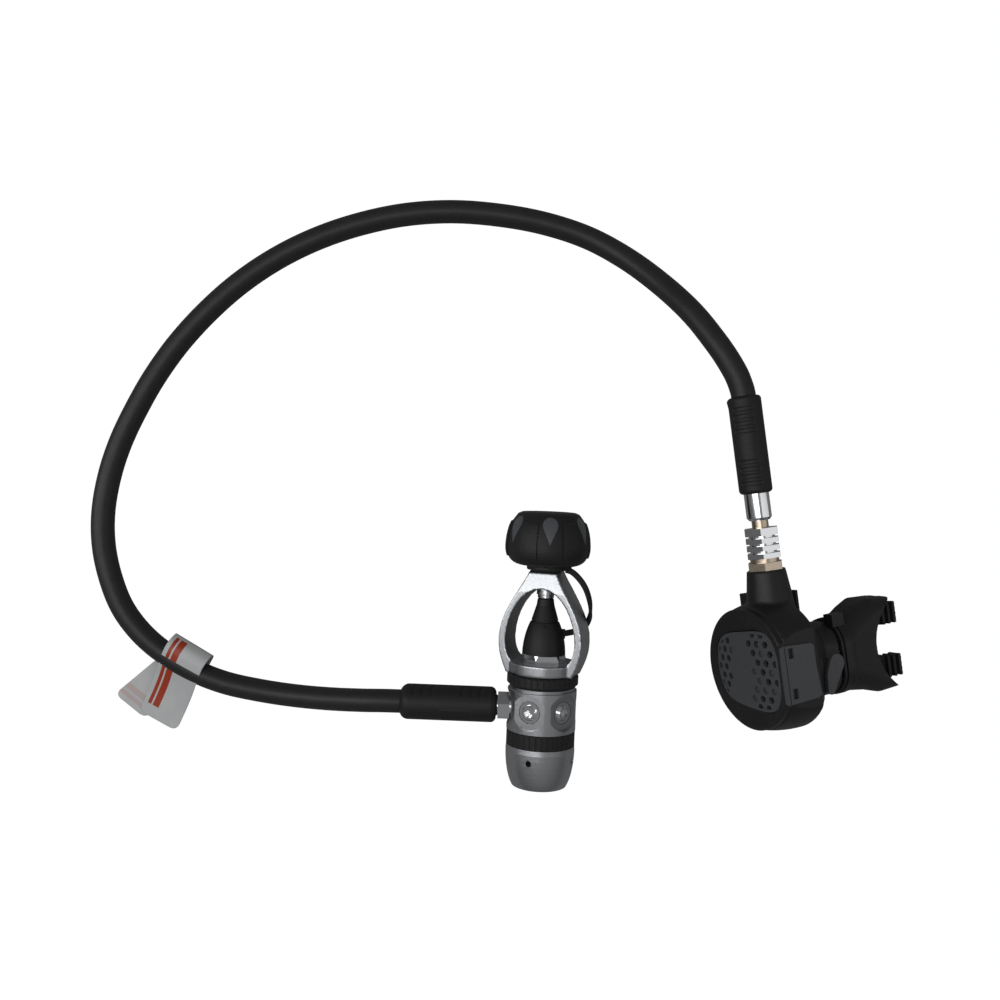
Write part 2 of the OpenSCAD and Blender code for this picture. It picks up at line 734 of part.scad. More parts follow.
module dust_cap() {
    waist = dust_cap_h * 0.587;
    color("#18181a") on_stage() translate([0, 0, z_dust_cap]) {
        difference() {
            rotate_extrude() polygon(concat([[0, 0]],
                bez([dust_cap_r, 0], [dust_cap_r - 0.1, waist * 0.35], [dust_cap_r * 0.86, waist * 0.72],
                    [8.7, waist - 0.4]),
                [[7.9, waist], [7.9, waist + 0.6], [8.1, waist + 0.9], [5.4, dust_cap_h - 4],
                    [4.9, dust_cap_h - 0.4], [4.5, dust_cap_h], [0, dust_cap_h]]));
            translate([0, 0, -over]) cylinder(r = dust_cap_recess_r, h = 2.3);
            translate([-1, -dust_cap_r, waist - 2.6]) cube([2, 5, 1.6]);
            translate([-1, -dust_cap_r, waist + 1.6]) cube([2, 5.6, 1.6]);
        }
        translate([8, 1.2, 9]) cube([4.6, 3.6, 5.4]);
    }
}

module cap_strap() {
    color("#18181a") on_stage() {
        translate([0, 0, z_strap_ring + 0.1]) difference() {
            union() {
                cylinder(r = 12.2, h = strap_ring_h);
                translate([8, -3, 0]) cube([7, 6, strap_ring_h]);
            }
            translate([0, 0, -over]) cylinder(r = screw_r + 0.8, h = strap_ring_h + 2 * over);
        }
        swept(STRAP_ROUTE, ring_section(strap_t / 2, strap_w / 2, 8), [0, 0.1, 1]);
    }
}

// ---- Hose ----

module hose_end_fitting() {
    color("#d8d8dc") on_stage() on_port(port_azimuths[0]) difference() {
        union() {
            translate([0, 0, port_flat - port_depth + 1])
                cylinder(r = port_bore_r - run_gap, h = port_depth);
            translate([0, 0, port_flat]) cylinder(r = fitting_af / 2 - 0.3, h = 1);
            translate([0, 0, port_flat + 1]) rotate([0, 0, 17])
                hexagon(fitting_af, fitting_out - port_flat - 1);
            translate([0, 0, port_flat]) cylinder(r = shank_r, h = fitting_out + 6 - port_flat);
        }
        translate([0, 0, -over]) cylinder(r = passage_r, h = fitting_out + 7);
    }
}

// A crimped ferrule round the hose's end, its closed end at z = 0
module ferrule(length) {
    difference() {
        rotate_extrude()
            polygon([[0, 0], [ferrule_r - 1.4, 0], [ferrule_r, 1.6], [ferrule_r, length], [0, length]]);
        translate([0, 0, -over]) cylinder(r = shank_r + run_gap, h = length + 2 * over);
    }
}

module ferrule_first() {
    color("#e8e8ea") on_stage() on_port(port_azimuths[0])
        translate([0, 0, fitting_out]) ferrule(ferrule_len);
}

// A bend-limiting sleeve, its first end at z = 0
module sleeve(length, r, grip_r, grip_len) {
    groove = 0.35;
    difference() {
        rotate_extrude() polygon(concat(
            [[0, 0], [r - 2.2, 0]],
            [[r - 0.7, 0.8], [r, 2.6], [r, 6], [r - groove, 6.4], [r, 6.8], [r, 9], [r - groove, 9.4],
                [r, 9.8], [r, length - 9.8], [r - groove, length - 9.4], [r, length - 9], [r, length - 6.8],
                [r - groove, length - 6.4], [r, length - 6], [r, length - 2.6], [r - 0.7, length - 0.8],
                [r - 2, length], [0, length]]));
        translate([0, 0, -over]) cylinder(r = grip_r, h = grip_len + over);
        translate([0, 0, grip_len - over]) cylinder(r = sleeve_bore_r - 0.1, h = length);
    }
}

module sleeve_first() {
    color("#141416") on_stage() on_port(port_azimuths[0]) translate([0, 0, sleeve_first_at])
        sleeve(sleeve_first_len, sleeve_first_r, ferrule_r + run_gap, ferrule_len);
}

module hose() {
    port_at = stage_point([0, 0, z_port]);
    first_end = port_at - [hose_first_at, 0, 0];
    first_out = port_at - [sleeve_first_at + sleeve_first_len + 4, 0, 0];
    last_in = inlet_point(sleeve_second_at + sleeve_second_len + 4);
    last_end = inlet_point(hose_second_at);
    route = concat([first_end, first_out], HOSE_ROUTE, [last_in, last_end]);
    color("#141416") swept(route, ring_section(hose_r, hose_r, 10));
}

// The folded tag: a loop round the hose and two leaves lying against each other
module hose_tag() {
    loop_r = hose_r + seat_gap;
    paper = 0.3;
    color("#d9d9d6") translate([-318, -19.6, loop_r + paper]) rotate([0, 0, -29]) rotate([90, 0, 90])
        translate([0, 0, -tag_w / 2]) linear_extrude(tag_w) difference() {
            union() {
                circle(loop_r + paper);
                polygon([[0, -loop_r - paper], [0, -loop_r + paper], [-tag_len, -loop_r + paper],
                    [-tag_len, -loop_r - paper]]);
            }
            circle(loop_r);
        }
}

module ferrule_second() {
    color("#e8e8ea") on_inlet() translate([0, 0, ferrule_second_at]) difference() {
        union() {
            ferrule(ferrule_second_len);
            translate([0, 0, ferrule_second_len]) cylinder(r = hose_r - 0.6, h = 4);
        }
        translate([0, 0, -over]) cylinder(r = shank_r + run_gap, h = ferrule_second_len + 5);
    }
}

module sleeve_second() {
    color("#141416") on_inlet() translate([0, 0, sleeve_second_at])
        sleeve(sleeve_second_len, sleeve_second_r, hose_r + 0.1, 4);
}

// The brass tailpiece in the hose's end, on which the finned nut turns
module hose_tailpiece() {
    color("#c9ab6c") on_inlet() difference() {
        union() {
            translate([0, 0, fins_at + fins_h - 2.4]) cylinder(r = upper_neck_r, h = 6.8);
            translate([0, 0, fins_at + 6.2]) cylinder(r = shank_r, h = fins_h + ferrule_second_len);
            translate([0, 0, fins_at + 6.2]) cylinder(r = nut_bore_r - seat_gap, h = 2.4);
        }
        translate([0, 0, fins_at]) cylinder(r = passage_r, h = fins_h + ferrule_second_len + 8);
    }
}

module hose_seals() {
    color("#202020") {
        on_stage() on_port(port_azimuths[0]) translate([0, 0, port_flat - port_recess + seal_wire_r])
            o_ring(port_bore_r + seal_wire_r, seal_wire_r);
        on_inlet() translate([0, 0, fins_at + 5.6]) o_ring(3, 0.6);
    }
}

// ---- Inlet and swivel ----

module swivel_nut() {
    pitch = (fins_h - top_fin_t) / (fin_count - 1);
    color("#e4e4e8") on_inlet() translate([0, 0, fins_at]) difference() {
        union() {
            cylinder(r = fin_af / 2 - 1.6, h = fins_h);
            for (i = [0:fin_count - 1]) translate([0, 0, i * pitch]) rotate([0, 0, 20])
                hexagon(fin_af, i == fin_count - 1 ? top_fin_t : fin_t);
        }
        translate([0, 0, -over]) cylinder(r = nut_bore_r, h = nut_bore_h + over);
        translate([0, 0, nut_bore_h - over]) cylinder(r = shank_r + run_gap, h = fins_h);
        translate([0, 0, fins_h - 2.5]) cylinder(r = upper_neck_r + run_gap, h = 3);
    }
}

module inlet_fitting() {
    color("#c9ab6c") on_inlet() difference() {
        union() {
            translate([0, 0, tower_len]) rotate([0, 0, 20]) hexagon(inlet_af, inlet_hex_h);
            translate([0, 0, tower_len + inlet_hex_h - over])
                cylinder(r = lower_neck_r, h = lower_neck_h + over);
            translate([0, 0, tower_len + inlet_hex_h])
                cylinder(r = nut_bore_r - run_gap, h = lower_neck_h + 4.6);
            translate([0, 0, tower_len - 8]) cylinder(r = barrel_r - 2, h = 10);
        }
        translate([0, 0, tower_len - 9]) cylinder(r = passage_r, h = 30);
    }
}

// ---- Demand valve ----

module tube_solid(shrink, from, to) {
    translate([tube_mid, tube_y, to]) linear_extrude(from - to)
        stadium(tube_w - 2 * shrink, tube_h - 2 * shrink);
}

// The case's round front part, drawn in by d, with its flat side
module drum(d, low, high) {
    difference() {
        rotate_extrude() polygon(concat([[0, low]],
            bez([case_r - d, low], [case_r - d + 0.2, low + 7], [front_ring_r + 2.4 - d, case_front - 7],
                [front_ring_r + 0.4 - d, high], 6),
            [[0, high]]));
        translate([flat_at - d, -case_r - 1, low - 1]) cube([case_r, 2 * case_r + 2, high - low + 2]);
    }
}

// The shoulder from the drum back to the tube, drawn in by d, with its step over the exhaust
module shoulder_section(at, r, top) {
    translate([0, tube_y * (widest_at - at) / shoulder_len, at]) linear_extrude(0.1) intersection() {
        circle(r, $fn = 64);
        translate([-r, -r]) square([r + top, 2 * r]);
    }
}

module shoulder(d) {
    difference() {
        for (half = [0, 1]) hull() {
            shoulder_section(half == 0 ? widest_at : waist_at, half == 0 ? case_r - d : waist_r - d,
                half == 0 ? flat_at - d : waist_top - d);
            if (half == 0) shoulder_section(waist_at, waist_r - d, waist_top - d);
            else tube_solid(d, tube_at + 0.1, tube_at);
        }
        translate([-case_r - 1, -case_r - 1, tube_at - 1])
            cube([case_r + 1 + tube_floor + d, 2 * case_r + 2, step_at + d - tube_at + 1]);
    }
}

// Room that the venturi lever turns in, above its turret, drawn out by d
module lever_room(d) {
    translate([turret_top - d, venturi_side, venturi_at]) rotate([0, 90, 0])
        cylinder(r = lever_room_r + d, h = case_r);
}

module case() {
    inside = case_wall;
    color("#18181a") on_second() difference() {
        union() {
            drum(0, widest_at, case_front);
            difference() {
                shoulder(0);
                lever_room(0);
            }
            translate([tube_top - 1, venturi_side, venturi_at]) rotate([0, 90, 0])
                cylinder(r = turret_r, h = turret_top - tube_top + 1);
            tube_solid(0, tube_at + 1, collar_at);
            tube_solid(neck_t + seat_gap, collar_at + over, -tube_end);
            rotate([-90, 0, 0]) translate([0, 0, case_r - 9])
                cylinder(r1 = tower_foot_r, r2 = tower_top_r, h = tower_len - case_r + 9);
        }
        drum(inside, widest_at, shelf - 2.4);
        difference() {
            shoulder(inside);
            lever_room(inside);
        }
        translate([0, 0, widest_at]) cylinder(r = shelf_r, h = case_front);
        translate([0, 0, shelf]) cylinder(r = seat_r, h = case_front);
        translate([0, 0, cover_edge - purge_travel - 0.7]) linear_extrude(case_front) cover_outline(-0.4);
        rotate([-90, 0, 0]) translate([0, 0, 20]) cylinder(r = barrel_r + run_gap, h = tower_len);
        tube_solid(tube_wall + neck_t + seat_gap, tube_at + 4, -tube_end - 1);
        tube_solid(tube_wall, tube_at + 4, collar_at + 3);
        translate([tube_mid, tube_y, exhaust_at]) rotate([0, -90, 0]) cylinder(r = exhaust_r, h = tube_h);
        translate([0, venturi_side, venturi_at]) rotate([0, 90, 0]) cylinder(r = 2.5 + run_gap, h = tube_h);
    }
}

// The purge cover's outline, a rounded shield that narrows towards the tee, drawn in by d
function cover_half(u, d) = cover_w / 2 + 0.1 * u - d;
module cover_outline(d) {
    polygon([for (i = [0:59]) let (t = 6 * i, c = cos(t), q = sin(t),
        u = sign(c) * (cover_len / 2 - d) * sqrt(abs(c)))
        [u, sign(q) * cover_half(u, d) * pow(abs(q), 2 / 3)]]);
}

module front_ring() {
    pressed_edge = cover_edge - purge_travel - seat_gap;
    color("#18181a") on_second() difference() {
        union() {
            rotate_extrude() polygon([[0, case_front], [front_ring_r, case_front],
                [front_ring_r, cover_front - 0.8], [front_ring_r - 0.8, cover_front - 0.1],
                [front_ring_r - 2.4, cover_front], [front_ring_r - 10, cover_front - dish],
                [0, cover_front - dish]]);
            translate([0, 0, shelf + rim_t]) cylinder(r = seat_r - run_gap, h = case_front - shelf - rim_t + over);
        }
        translate([0, 0, pressed_edge]) linear_extrude(front_ring_t + 5) cover_outline(0);
        translate([0, 0, pressed_edge]) linear_extrude(case_front - pressed_edge) cover_outline(-1);
        translate([flat_at, -case_r, 0]) cube([case_r, 2 * case_r, cover_front + 1]);
        translate([0, 0, shelf - 1]) linear_extrude(pressed_edge - shelf + 1 + over) difference() {
            circle(shelf_r);
            translate([0, 0]) circle(11);
            for (i = [0:2]) rotate(90 + 120 * i) translate([5, -2]) square([shelf_r, 4]);
        }
        translate([0, 0, shelf - 1]) cylinder(r = 11 + over, h = spider_at - shelf + 1);
        translate([0, 0, spider_at + spider_t]) cylinder(r = shelf_r, h = 3);
        translate([0, 0, shelf - 1]) cylinder(r = purge_boss_r + 1.3, h = 9);
    }
}

// Rows of hexagons that leave a slanted band bare; the blind ones, by step and row, are pockets
BLIND = [[1, -2], [2, -2], [3, -2], [1, 0], [3, 0], [1, -1], [2, 2], [0, -3], [-2, 2]];
function in_mesh(x, y) = (x > 7 - abs(y) / 5 || x < y / 4 - 12.6)
    && pow(abs(x) / (cover_len / 2 - 1.4), 4) + pow(abs(y) / (cover_half(x, 0) - 0.6), 3) < 1;
module mesh_pattern(blind) {
    intersection_for (part = [0, 1]) if (part == 0) cover_outline(cover_gap + 1.5);
    else for (i = [-5:5], j = [-5:5])
        let (x = (i + (j % 2 == 0 ? 0 : 0.5)) * mesh_step + 1.8, y = j * mesh_row + 0.2)
        if (in_mesh(x, y) && (len([for (b = BLIND) if (b == [i, j]) 1]) > 0) == blind)
            translate([x, y]) circle(d = mesh_af / cos(30), $fn = 6);
}

module purge_cover() {
    pocket = 1;
    dome_at = cover_front + dome_rise - dome_r;
    color("#3a3c40") on_second() {
        difference() {
            intersection() {
                translate([0, 0, case_front]) linear_extrude(front_ring_t + 3) difference() {
                    cover_outline(cover_gap);
                    mesh_pattern(false);
                }
                translate([0, 0, dome_at]) difference() {
                    sphere(dome_r, $fn = 96);
                    sphere(dome_r - cover_t, $fn = 96);
                }
            }
            difference() {
                translate([0, 0, case_front]) linear_extrude(front_ring_t + 4) mesh_pattern(true);
                translate([0, 0, dome_at]) sphere(dome_r - pocket, $fn = 96);
            }
        }
        translate([0, 0, disc_top + seat_gap])
            cylinder(r = purge_boss_r, h = cover_front + 1 - cover_t - disc_top - seat_gap);
    }
}

module purge_spring() {
    color("#9aa0a6") on_second() translate([0, 0, spider_at + spider_t])
        coil(8.4, 0.3, 2, cover_front + dome_rise - cover_t - spider_at - spider_t - 0.3);
}

module demand_diaphragm() {
    t = 0.8;
    low = disc_top - disc_t - t;
    fold = seat_r - 8.7;
    color("#2a2a2e") on_second() rotate_extrude() polygon([
        [0, low], [fold - 3, low], [fold - 1, low - 1.5], [fold + 1, low - 1.5],
        [fold + 4, shelf], [seat_r - 0.1, shelf], [seat_r - 0.1, shelf + rim_t], [fold + 3.4, shelf + rim_t],
        [fold + 0.4, low - 1.5 + t], [fold - 0.4, low - 1.5 + t], [fold - 2.4, low + t], [0, low + t]]);
}

module diaphragm_disc() {
    color("#d0d0cc") on_second() translate([0, 0, disc_top - disc_t]) cylinder(r = disc_r, h = disc_t);
}

module valve_barrel() {
    color("#b9bcc2") on_inlet() difference() {
        translate([0, 0, -24]) cylinder(r = barrel_r, h = tower_len + 24);
        translate([0, 0, -25]) cylinder(r = barrel_r - 2.9, h = 38);
        translate([0, 0, 12]) cylinder(r = 2, h = 40);
        translate([0, 0, tower_len - 8.1]) cylinder(r = barrel_r - 2 + run_gap, h = 9);
        translate([0, 0, orifice_at + 0.2]) cylinder(r = barrel_r - 2.5, h = 6.3);
        rotate([0, 90, 0]) translate([1, 0, 3]) cylinder(r = 1.9, h = 12);
    }
    color("#b9bcc2") on_second() for (side = [-1, 1]) translate([side * (barrel_r - 0.6), pivot_at, 0])
        rotate([0, side * 90, 0]) cylinder(r = pin_r, h = 2.2);
}

module orifice() {
    color("#c9ab6c") on_inlet() translate([0, 0, orifice_at + 0.3]) difference() {
        cylinder(r = barrel_r - 2.5 - run_gap, h = 6);
        translate([0, 0, -over]) cylinder(r1 = 1.2, r2 = 1.8, h = 6.3);
    }
}

module poppet() {
    color("#e0e0dc") on_inlet() {
        translate([0, 0, orifice_at - 3.5]) cylinder(r = barrel_r - 2.9 - run_gap, h = 3.7);
        translate([0, 0, -19]) cylinder(r = 1.5, h = 24);
    }
}

module poppet_spring() {
    color("#9aa0a6") on_inlet() translate([0, 0, -17]) coil(2.4, 0.3, 9, orifice_at - 3.5 + 17);
}

module barrel_nut() {
    color("#c9ab6c") on_inlet() translate([0, 0, -22]) difference() {
        cylinder(r = barrel_r - 2.9 - run_gap, h = 5);
        translate([0, 0, 1]) cylinder(r = 1.5 + run_gap, h = 5);
    }
}

module demand_lever() {
    arm_t = 0.8;
    leg_x = barrel_r + 0.35;
    color("#c8ccd0") on_second() difference() {
        union() {
            for (side = [-1, 1]) translate([side * (leg_x + arm_t / 2), 0, 0]) rotate([90, 0, 90])
                translate([0, 0, -arm_t / 2]) linear_extrude(arm_t) union() {
                    translate([pivot_at, 0]) circle(2.6);
                    polygon([[pivot_at - 2.6, 0], [pivot_at + 2.6, 0], [pivot_at + 4, lever_top - 2.5],
                        [pivot_at, lever_top - 2.5]]);
                }
            rotate([90, 0, 90]) translate([0, 0, -leg_x - arm_t]) linear_extrude(2 * (leg_x + arm_t))
                polygon([[pivot_at, lever_top - 2.5 - arm_t], [pivot_at + 4, lever_top - 2.5 - arm_t],
                    [pivot_at + 4, lever_top - 2.5], [pivot_at, lever_top - 2.5]]);
            rotate([90, 0, 90]) translate([0, 0, -4]) linear_extrude(8)
                polygon([[pivot_at + 2, lever_top - 2.5 - arm_t], [6, lever_top - arm_t],
                    [8, lever_top - arm_t], [8, lever_top], [6, lever_top],
                    [pivot_at + 2, lever_top - 2.5]]);
        }
        translate([-20, pivot_at, 0]) rotate([0, 90, 0]) cylinder(r = pin_r + run_gap, h = 40);
    }
}

// ---- Exhaust, venturi and mouthpiece ----

module exhaust_valve() {
    color("#202024") on_second() translate([tube_floor - 0.1, tube_y, exhaust_at]) rotate([0, -90, 0]) {
        cylinder(r = exhaust_r + 1, h = 0.8);
        cylinder(r = 1.5, h = 2.2);
    }
}

// Height of the table under a point of the demand valve's frame, as a level on x
function table_at(z) = -(inlet_h + z * cos(second_lean)) / sin(second_lean);

module tee_outline(d) {
    near = step_at - 1.5;
    far = collar_at - 2;
    polygon([[tube_floor - 0.2 - 2.4 + 3 * d / 2, near - d], [table_at(near) + 2.4 + d, near - d],
        [table_at(near - 2) + d, near - 2 - d * 0.6], [table_at(far + 3) + d, far + 3 + d * 0.6],
        [table_at(far) + 3 + d, far + d], [tube_floor - 0.2 - 2.4 + 3 * d / 2, far + d]]);
}

module exhaust_tee() {
    wall = 1.8;
    color("#18181a") on_second() translate([0, tube_y, 0]) difference() {
        union() {
            rotate([90, 0, 0]) translate([0, 0, -tee_half_w]) linear_extrude(2 * tee_half_w) tee_outline(0);
            translate([tube_floor - 0.2, 0, exhaust_at]) rotate([0, -90, 0])
                cylinder(r = exhaust_r + 2.8, h = 6);
        }
        rotate([90, 0, 0]) translate([0, 0, -tee_half_w - 1]) linear_extrude(2 * tee_half_w + 2)
            tee_outline(wall);
        translate([tube_floor + 1, 0, exhaust_at]) rotate([0, -90, 0])
            cylinder(r = exhaust_r + 1.3, h = 12);
    }
}

// The panel lies on the case's flat side; its strip along the front edge is set off by a groove
module side_panel() {
    panel_t = 1.3;
    front = cover_front - 0.3;
    back = widest_at + 2.2;
    slot_at = front - 5.2;
    color("#4a4c50") on_second() translate([flat_at, 0, 0]) rotate([0, 90, 0]) difference() {
        linear_extrude(panel_t) difference() {
            polygon([[-front, 14.6], [-front + 2, 15.4], [-back - 2, 14], [-back, 12.6], [-back, 2],
                [-back + 1.6, -14.6], [-back - 1, -16], [-front + 5, -16.6], [-front + 1.4, -16.8],
                [-front, -15.6]]);
            for (y = [8, -14]) translate([-slot_at, y]) square([3.4, 5.6]);
        }
        translate([-front + 2.6, -20, panel_t - 0.5]) cube([0.7, 40, 1]);
    }
}

// A leaf with two round ends, its wider end at the origin
module leaf(length, wide, narrow) {
    hull() {
        circle(d = wide, $fn = 32);
        translate([0, length - wide / 2 - narrow / 2]) circle(d = narrow, $fn = 32);
        translate([wide * 0.12, length * 0.3]) circle(d = wide * 0.8, $fn = 32);
    }
}

module venturi_lever() {
    color("#55585e") on_second() translate([0, venturi_side, venturi_at]) rotate([0, 90, 0]) {
        translate([0, 0, tube_top - tube_wall - 2]) cylinder(r = 2.5, h = turret_top + tube_wall + 3 - tube_top);
        translate([3, 6.5, turret_top + seat_gap]) linear_extrude(2.2) rotate(157) leaf(23.2, 10.2, 4.6);
        translate([-0.5, -4, tube_top - tube_wall - 7]) cube([1, 8, 5.2]);
    }
}

module mouthpiece() {
    root = tie_at - tie_w - 0.6;
    color("#111113") on_second() difference() {
        union() {
            tube_solid(-0.8, neck_at, neck_at - 1.8);
            tube_solid(-0.8, root, root - 2);
            tube_solid(0, neck_at - 1, root - 1);
            difference() {
                flared_body(root);
                translate([tube_mid - flange_h, wing_y, flange_at - flange_bend_r]) rotate([0, 90, 0])
                    cylinder(r = flange_bend_r, h = 2 * flange_h);
            }
            bite_tabs();
        }
        tube_solid(neck_t, neck_at + 1, -tube_end - 0.4);
        hull() {
            tube_solid(neck_t + 1.4, -tube_end, -tube_end - 1);
            translate([tube_mid, wing_y, flange_at - 9]) linear_extrude(1) stadium(wings_w - 30, flange_h - 14);
        }
    }
}

module wing_section(at, w, corner) {
    translate([tube_mid, wing_y, at]) linear_extrude(0.5) hull() for (a = [-1, 1], b = [-1, 1])
        translate([a * (flange_h / 2 - corner), b * (w / 2 - corner)]) circle(corner, $fn = 32);
}

// The body that flares from the neck into the lip flange and its two wings
module flared_body(root) {
    mid = (root + flange_at) / 2 - 5;
    hull() {
        tube_solid(0, root - 1, root - 2);
        wing_section(mid, wings_w - 5, 12);
    }
    hull() {
        wing_section(mid, wings_w - 5, 12);
        wing_section(flange_at - 4, wings_w, 9);
        wing_section(flange_at - 19.5, wings_w - 2, 8);
    }
}

// Two ribbed tabs, held between the teeth
module bite_tabs() {
    tab_end = flange_at - 28;
    for (side = [-1, 1]) translate([tube_mid, wing_y + side * 16, tab_end]) {
        translate([-1.6, -6.6, 0]) cube([3.2, 13.2, 20]);
        for (row = [0:2]) translate([-4.6, -6.6, row * 4.4]) cube([9.2, 13.2, 2]);
    }
}

module mouthpiece_tie() {
    color("#0e0e10") on_second() {
        translate([tube_mid, tube_y, tie_at - tie_w]) linear_extrude(tie_w) difference() {
            stadium(tube_w + 2, tube_h + 2);
            stadium(tube_w + 0.1, tube_h + 0.1);
        }
        translate([tube_mid, tube_y, tie_at - tie_w - 1]) linear_extrude(tie_w + 4.2) difference() {
            translate([4, tube_w / 2 - 4]) square([7, 7.6]);
            stadium(tube_w + 1.8, tube_h + 1.8);
        }
    }
}

end_cap();
cap_band();
stage_body();
port_band();
yoke();
yoke_retainer();
inlet_filter();
filter_clip();
port_plugs();
port_plug_seals();
stage_seals();
spring_adjuster();
main_spring();
spring_pad();
stage_diaphragm();
valve_lifter();
valve_seat();
stage_valve();
stage_valve_spring();
balance_plug();
yoke_screw();
knob_hub();
knob_grip();
knob_inlays_set();
screw_foot();
dust_cap();
cap_strap();
hose_end_fitting();
ferrule_first();
sleeve_first();
hose();
hose_tag();
sleeve_second();
ferrule_second();
hose_tailpiece();
hose_seals();
swivel_nut();
inlet_fitting();
case();
front_ring();
purge_cover();
purge_spring();
demand_diaphragm();
diaphragm_disc();
valve_barrel();
orifice();
poppet();
poppet_spring();
demand_lever();
barrel_nut();
exhaust_valve();
exhaust_tee();
side_panel();
venturi_lever();
mouthpiece();
mouthpiece_tie();
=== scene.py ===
# A yoke first stage, its hose and a demand valve, lying on a pale table.
# Everything is in metres in the row frame, +Z up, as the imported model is.
import math

import bpy
import numpy as np
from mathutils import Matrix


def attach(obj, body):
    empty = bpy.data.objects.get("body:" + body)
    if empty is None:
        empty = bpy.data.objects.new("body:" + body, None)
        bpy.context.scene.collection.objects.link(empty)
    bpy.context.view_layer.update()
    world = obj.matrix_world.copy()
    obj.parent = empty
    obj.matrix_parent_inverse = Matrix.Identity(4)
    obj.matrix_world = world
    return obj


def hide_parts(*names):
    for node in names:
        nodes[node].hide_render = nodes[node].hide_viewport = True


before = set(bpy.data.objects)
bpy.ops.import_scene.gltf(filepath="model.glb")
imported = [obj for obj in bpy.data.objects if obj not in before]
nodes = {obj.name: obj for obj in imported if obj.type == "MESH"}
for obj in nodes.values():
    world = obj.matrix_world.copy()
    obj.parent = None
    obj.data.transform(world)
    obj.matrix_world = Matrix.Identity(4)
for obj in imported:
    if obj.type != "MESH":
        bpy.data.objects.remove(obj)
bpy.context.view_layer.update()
scene = bpy.context.scene
scene.view_settings.view_transform = "Standard"

# Camera: straight above the set, at the distance of a tabletop picture, with its top edge turned
# a little off the first stage's axis.
camera_data = bpy.data.cameras.new("camera")
camera_data.sensor_width = 36
camera_data.lens = 36
camera = bpy.data.objects.new("camera", camera_data)
camera.location = (-0.1245, 0.0882, 0.62475)
camera.rotation_euler = (0, 0, math.radians(2.2))
scene.collection.objects.link(camera)
scene.camera = camera


# Hose: one length of black rubber over woven cord, 14 mm thick, which leaves the first stage
# level, drops to the table, runs round in a wide loop and climbs to the demand valve's inlet.
class Value:
    """One output of a finish, on which Python's arithmetic lays Math nodes."""

    def __init__(self, finish, socket):
        self.finish, self.socket = finish, socket

    def math(self, operation, *terms):
        return self.finish.node("Math", {"operation": operation}, dict(enumerate(terms)))

    def __add__(self, other):
        return self.math("ADD", self, other)

    def __mul__(self, other):
        return self.math("MULTIPLY", self, other)

    def __gt__(self, other):
        return self.math("GREATER_THAN", self, other)

    def __lt__(self, other):
        return self.math("LESS_THAN", self, other)

    __radd__, __rmul__ = __add__, __mul__


class Finish:
    """A material round one Principled shader, whose even numbers sit on its own sockets."""

    def __init__(self, name, colour, roughness, metallic=0.0, **even):
        self.material = bpy.data.materials.new(name)
        self.material.use_nodes = True
        self.tree = self.material.node_tree
        self.shader = self.tree.nodes["Principled BSDF"]
        self.colour = colour
        self.set("Base Color", (*colour, 1))
        self.set("Roughness", roughness)
        self.set("Metallic", metallic)
        for socket, value in even.items():
            self.set(socket.replace("_", " "), value)

    def node(self, kind, settings=None, inputs=None, output=0):
        """Adds one node: its settings first, then its sockets' values or links."""
        made = self.tree.nodes.new("ShaderNode" + kind)
        for name, value in (settings or {}).items():
            setattr(made, name, value)
        for key, value in (inputs or {}).items():
            self.plug(made.inputs[key], value)
        return Value(self, made.outputs[output])

    def plug(self, socket, value):
        if isinstance(value, Value):
            self.tree.links.new(value.socket, socket)
        else:
            socket.default_value = value

    def set(self, socket, value):
        self.plug(self.shader.inputs[socket], value)

    def place(self):
        """The point on the surface, in metres in the row frame."""
        return self.node("TexCoord", output=3)

    def grain(self, size, detail=2.0):
        """Cloudy noise whose patches are about size metres across."""
        spot = self.node("Mapping", inputs={0: self.place()})
        return self.node(
            "TexNoise", inputs={"Vector": spot, "Scale": 1 / size, "Detail": detail}
        )

    def mix(self, mask, first, second):
        """The first colour where the mask is 0 and the second where it is 1."""
        first, second = [
            c if isinstance(c, Value) else (*c, 1) for c in (first, second)
        ]
        return self.node(
            "Mix", {"data_type": "RGBA"}, {0: mask, 6: first, 7: second}, output=2
        )

    def shade(self, mask, low, high):
        """Colours the surface from low to high times its own colour, as the mask rises."""
        self.set(
            "Base Color",
            self.mix(mask, [c * low for c in self.colour], [c * high for c in self.colour]),
        )

    def bump(self, height, depth):
        """Raises the surface by depth metres where height is 1."""
        self.set(
            "Normal",
            self.node("Bump", inputs={"Height": height, "Distance": depth, "Strength": 1.0}),
        )

    def on(self, *names):
        """Gives this finish to CAD nodes or to new pieces."""
        for name in names:
            piece = nodes[name] if isinstance(name, str) else name
            if not piece.material_slots:
                piece.data.materials.append(None)
            for holder in piece.material_slots:
                holder.material = self.material
        return self


def surface(name, grid, wrap=(False, True), caps=True, flip=False):
    """Quads between neighbours on a grid of points, closed on the wrapped axes, with a flat
    face over each open end of the rows where caps are asked for."""
    rows, columns = grid.shape[:2]
    index = np.arange(rows * columns).reshape(rows, columns)
    if wrap[0]:
        index = np.vstack([index, index[:1]])
    if wrap[1]:
        index = np.hstack([index, index[:, :1]])
    quads = np.stack(
        [index[:-1, :-1], index[:-1, 1:], index[1:, 1:], index[1:, :-1]], axis=-1
    ).reshape(-1, 4)
    faces = (quads[:, ::-1] if flip else quads).tolist()
    if caps and not wrap[0]:
        ends = [np.arange(columns)[::-1], (rows - 1) * columns + np.arange(columns)]
        faces += [(end[::-1] if flip else end).tolist() for end in ends]
    mesh = bpy.data.meshes.new(name)
    mesh.from_pydata(grid.reshape(-1, 3).tolist(), [], faces)
    mesh.polygons.foreach_set("use_smooth", np.ones(len(mesh.polygons), bool))
    mesh.update()
    piece = bpy.data.objects.new(name, mesh)
    scene.collection.objects.link(piece)
    return piece


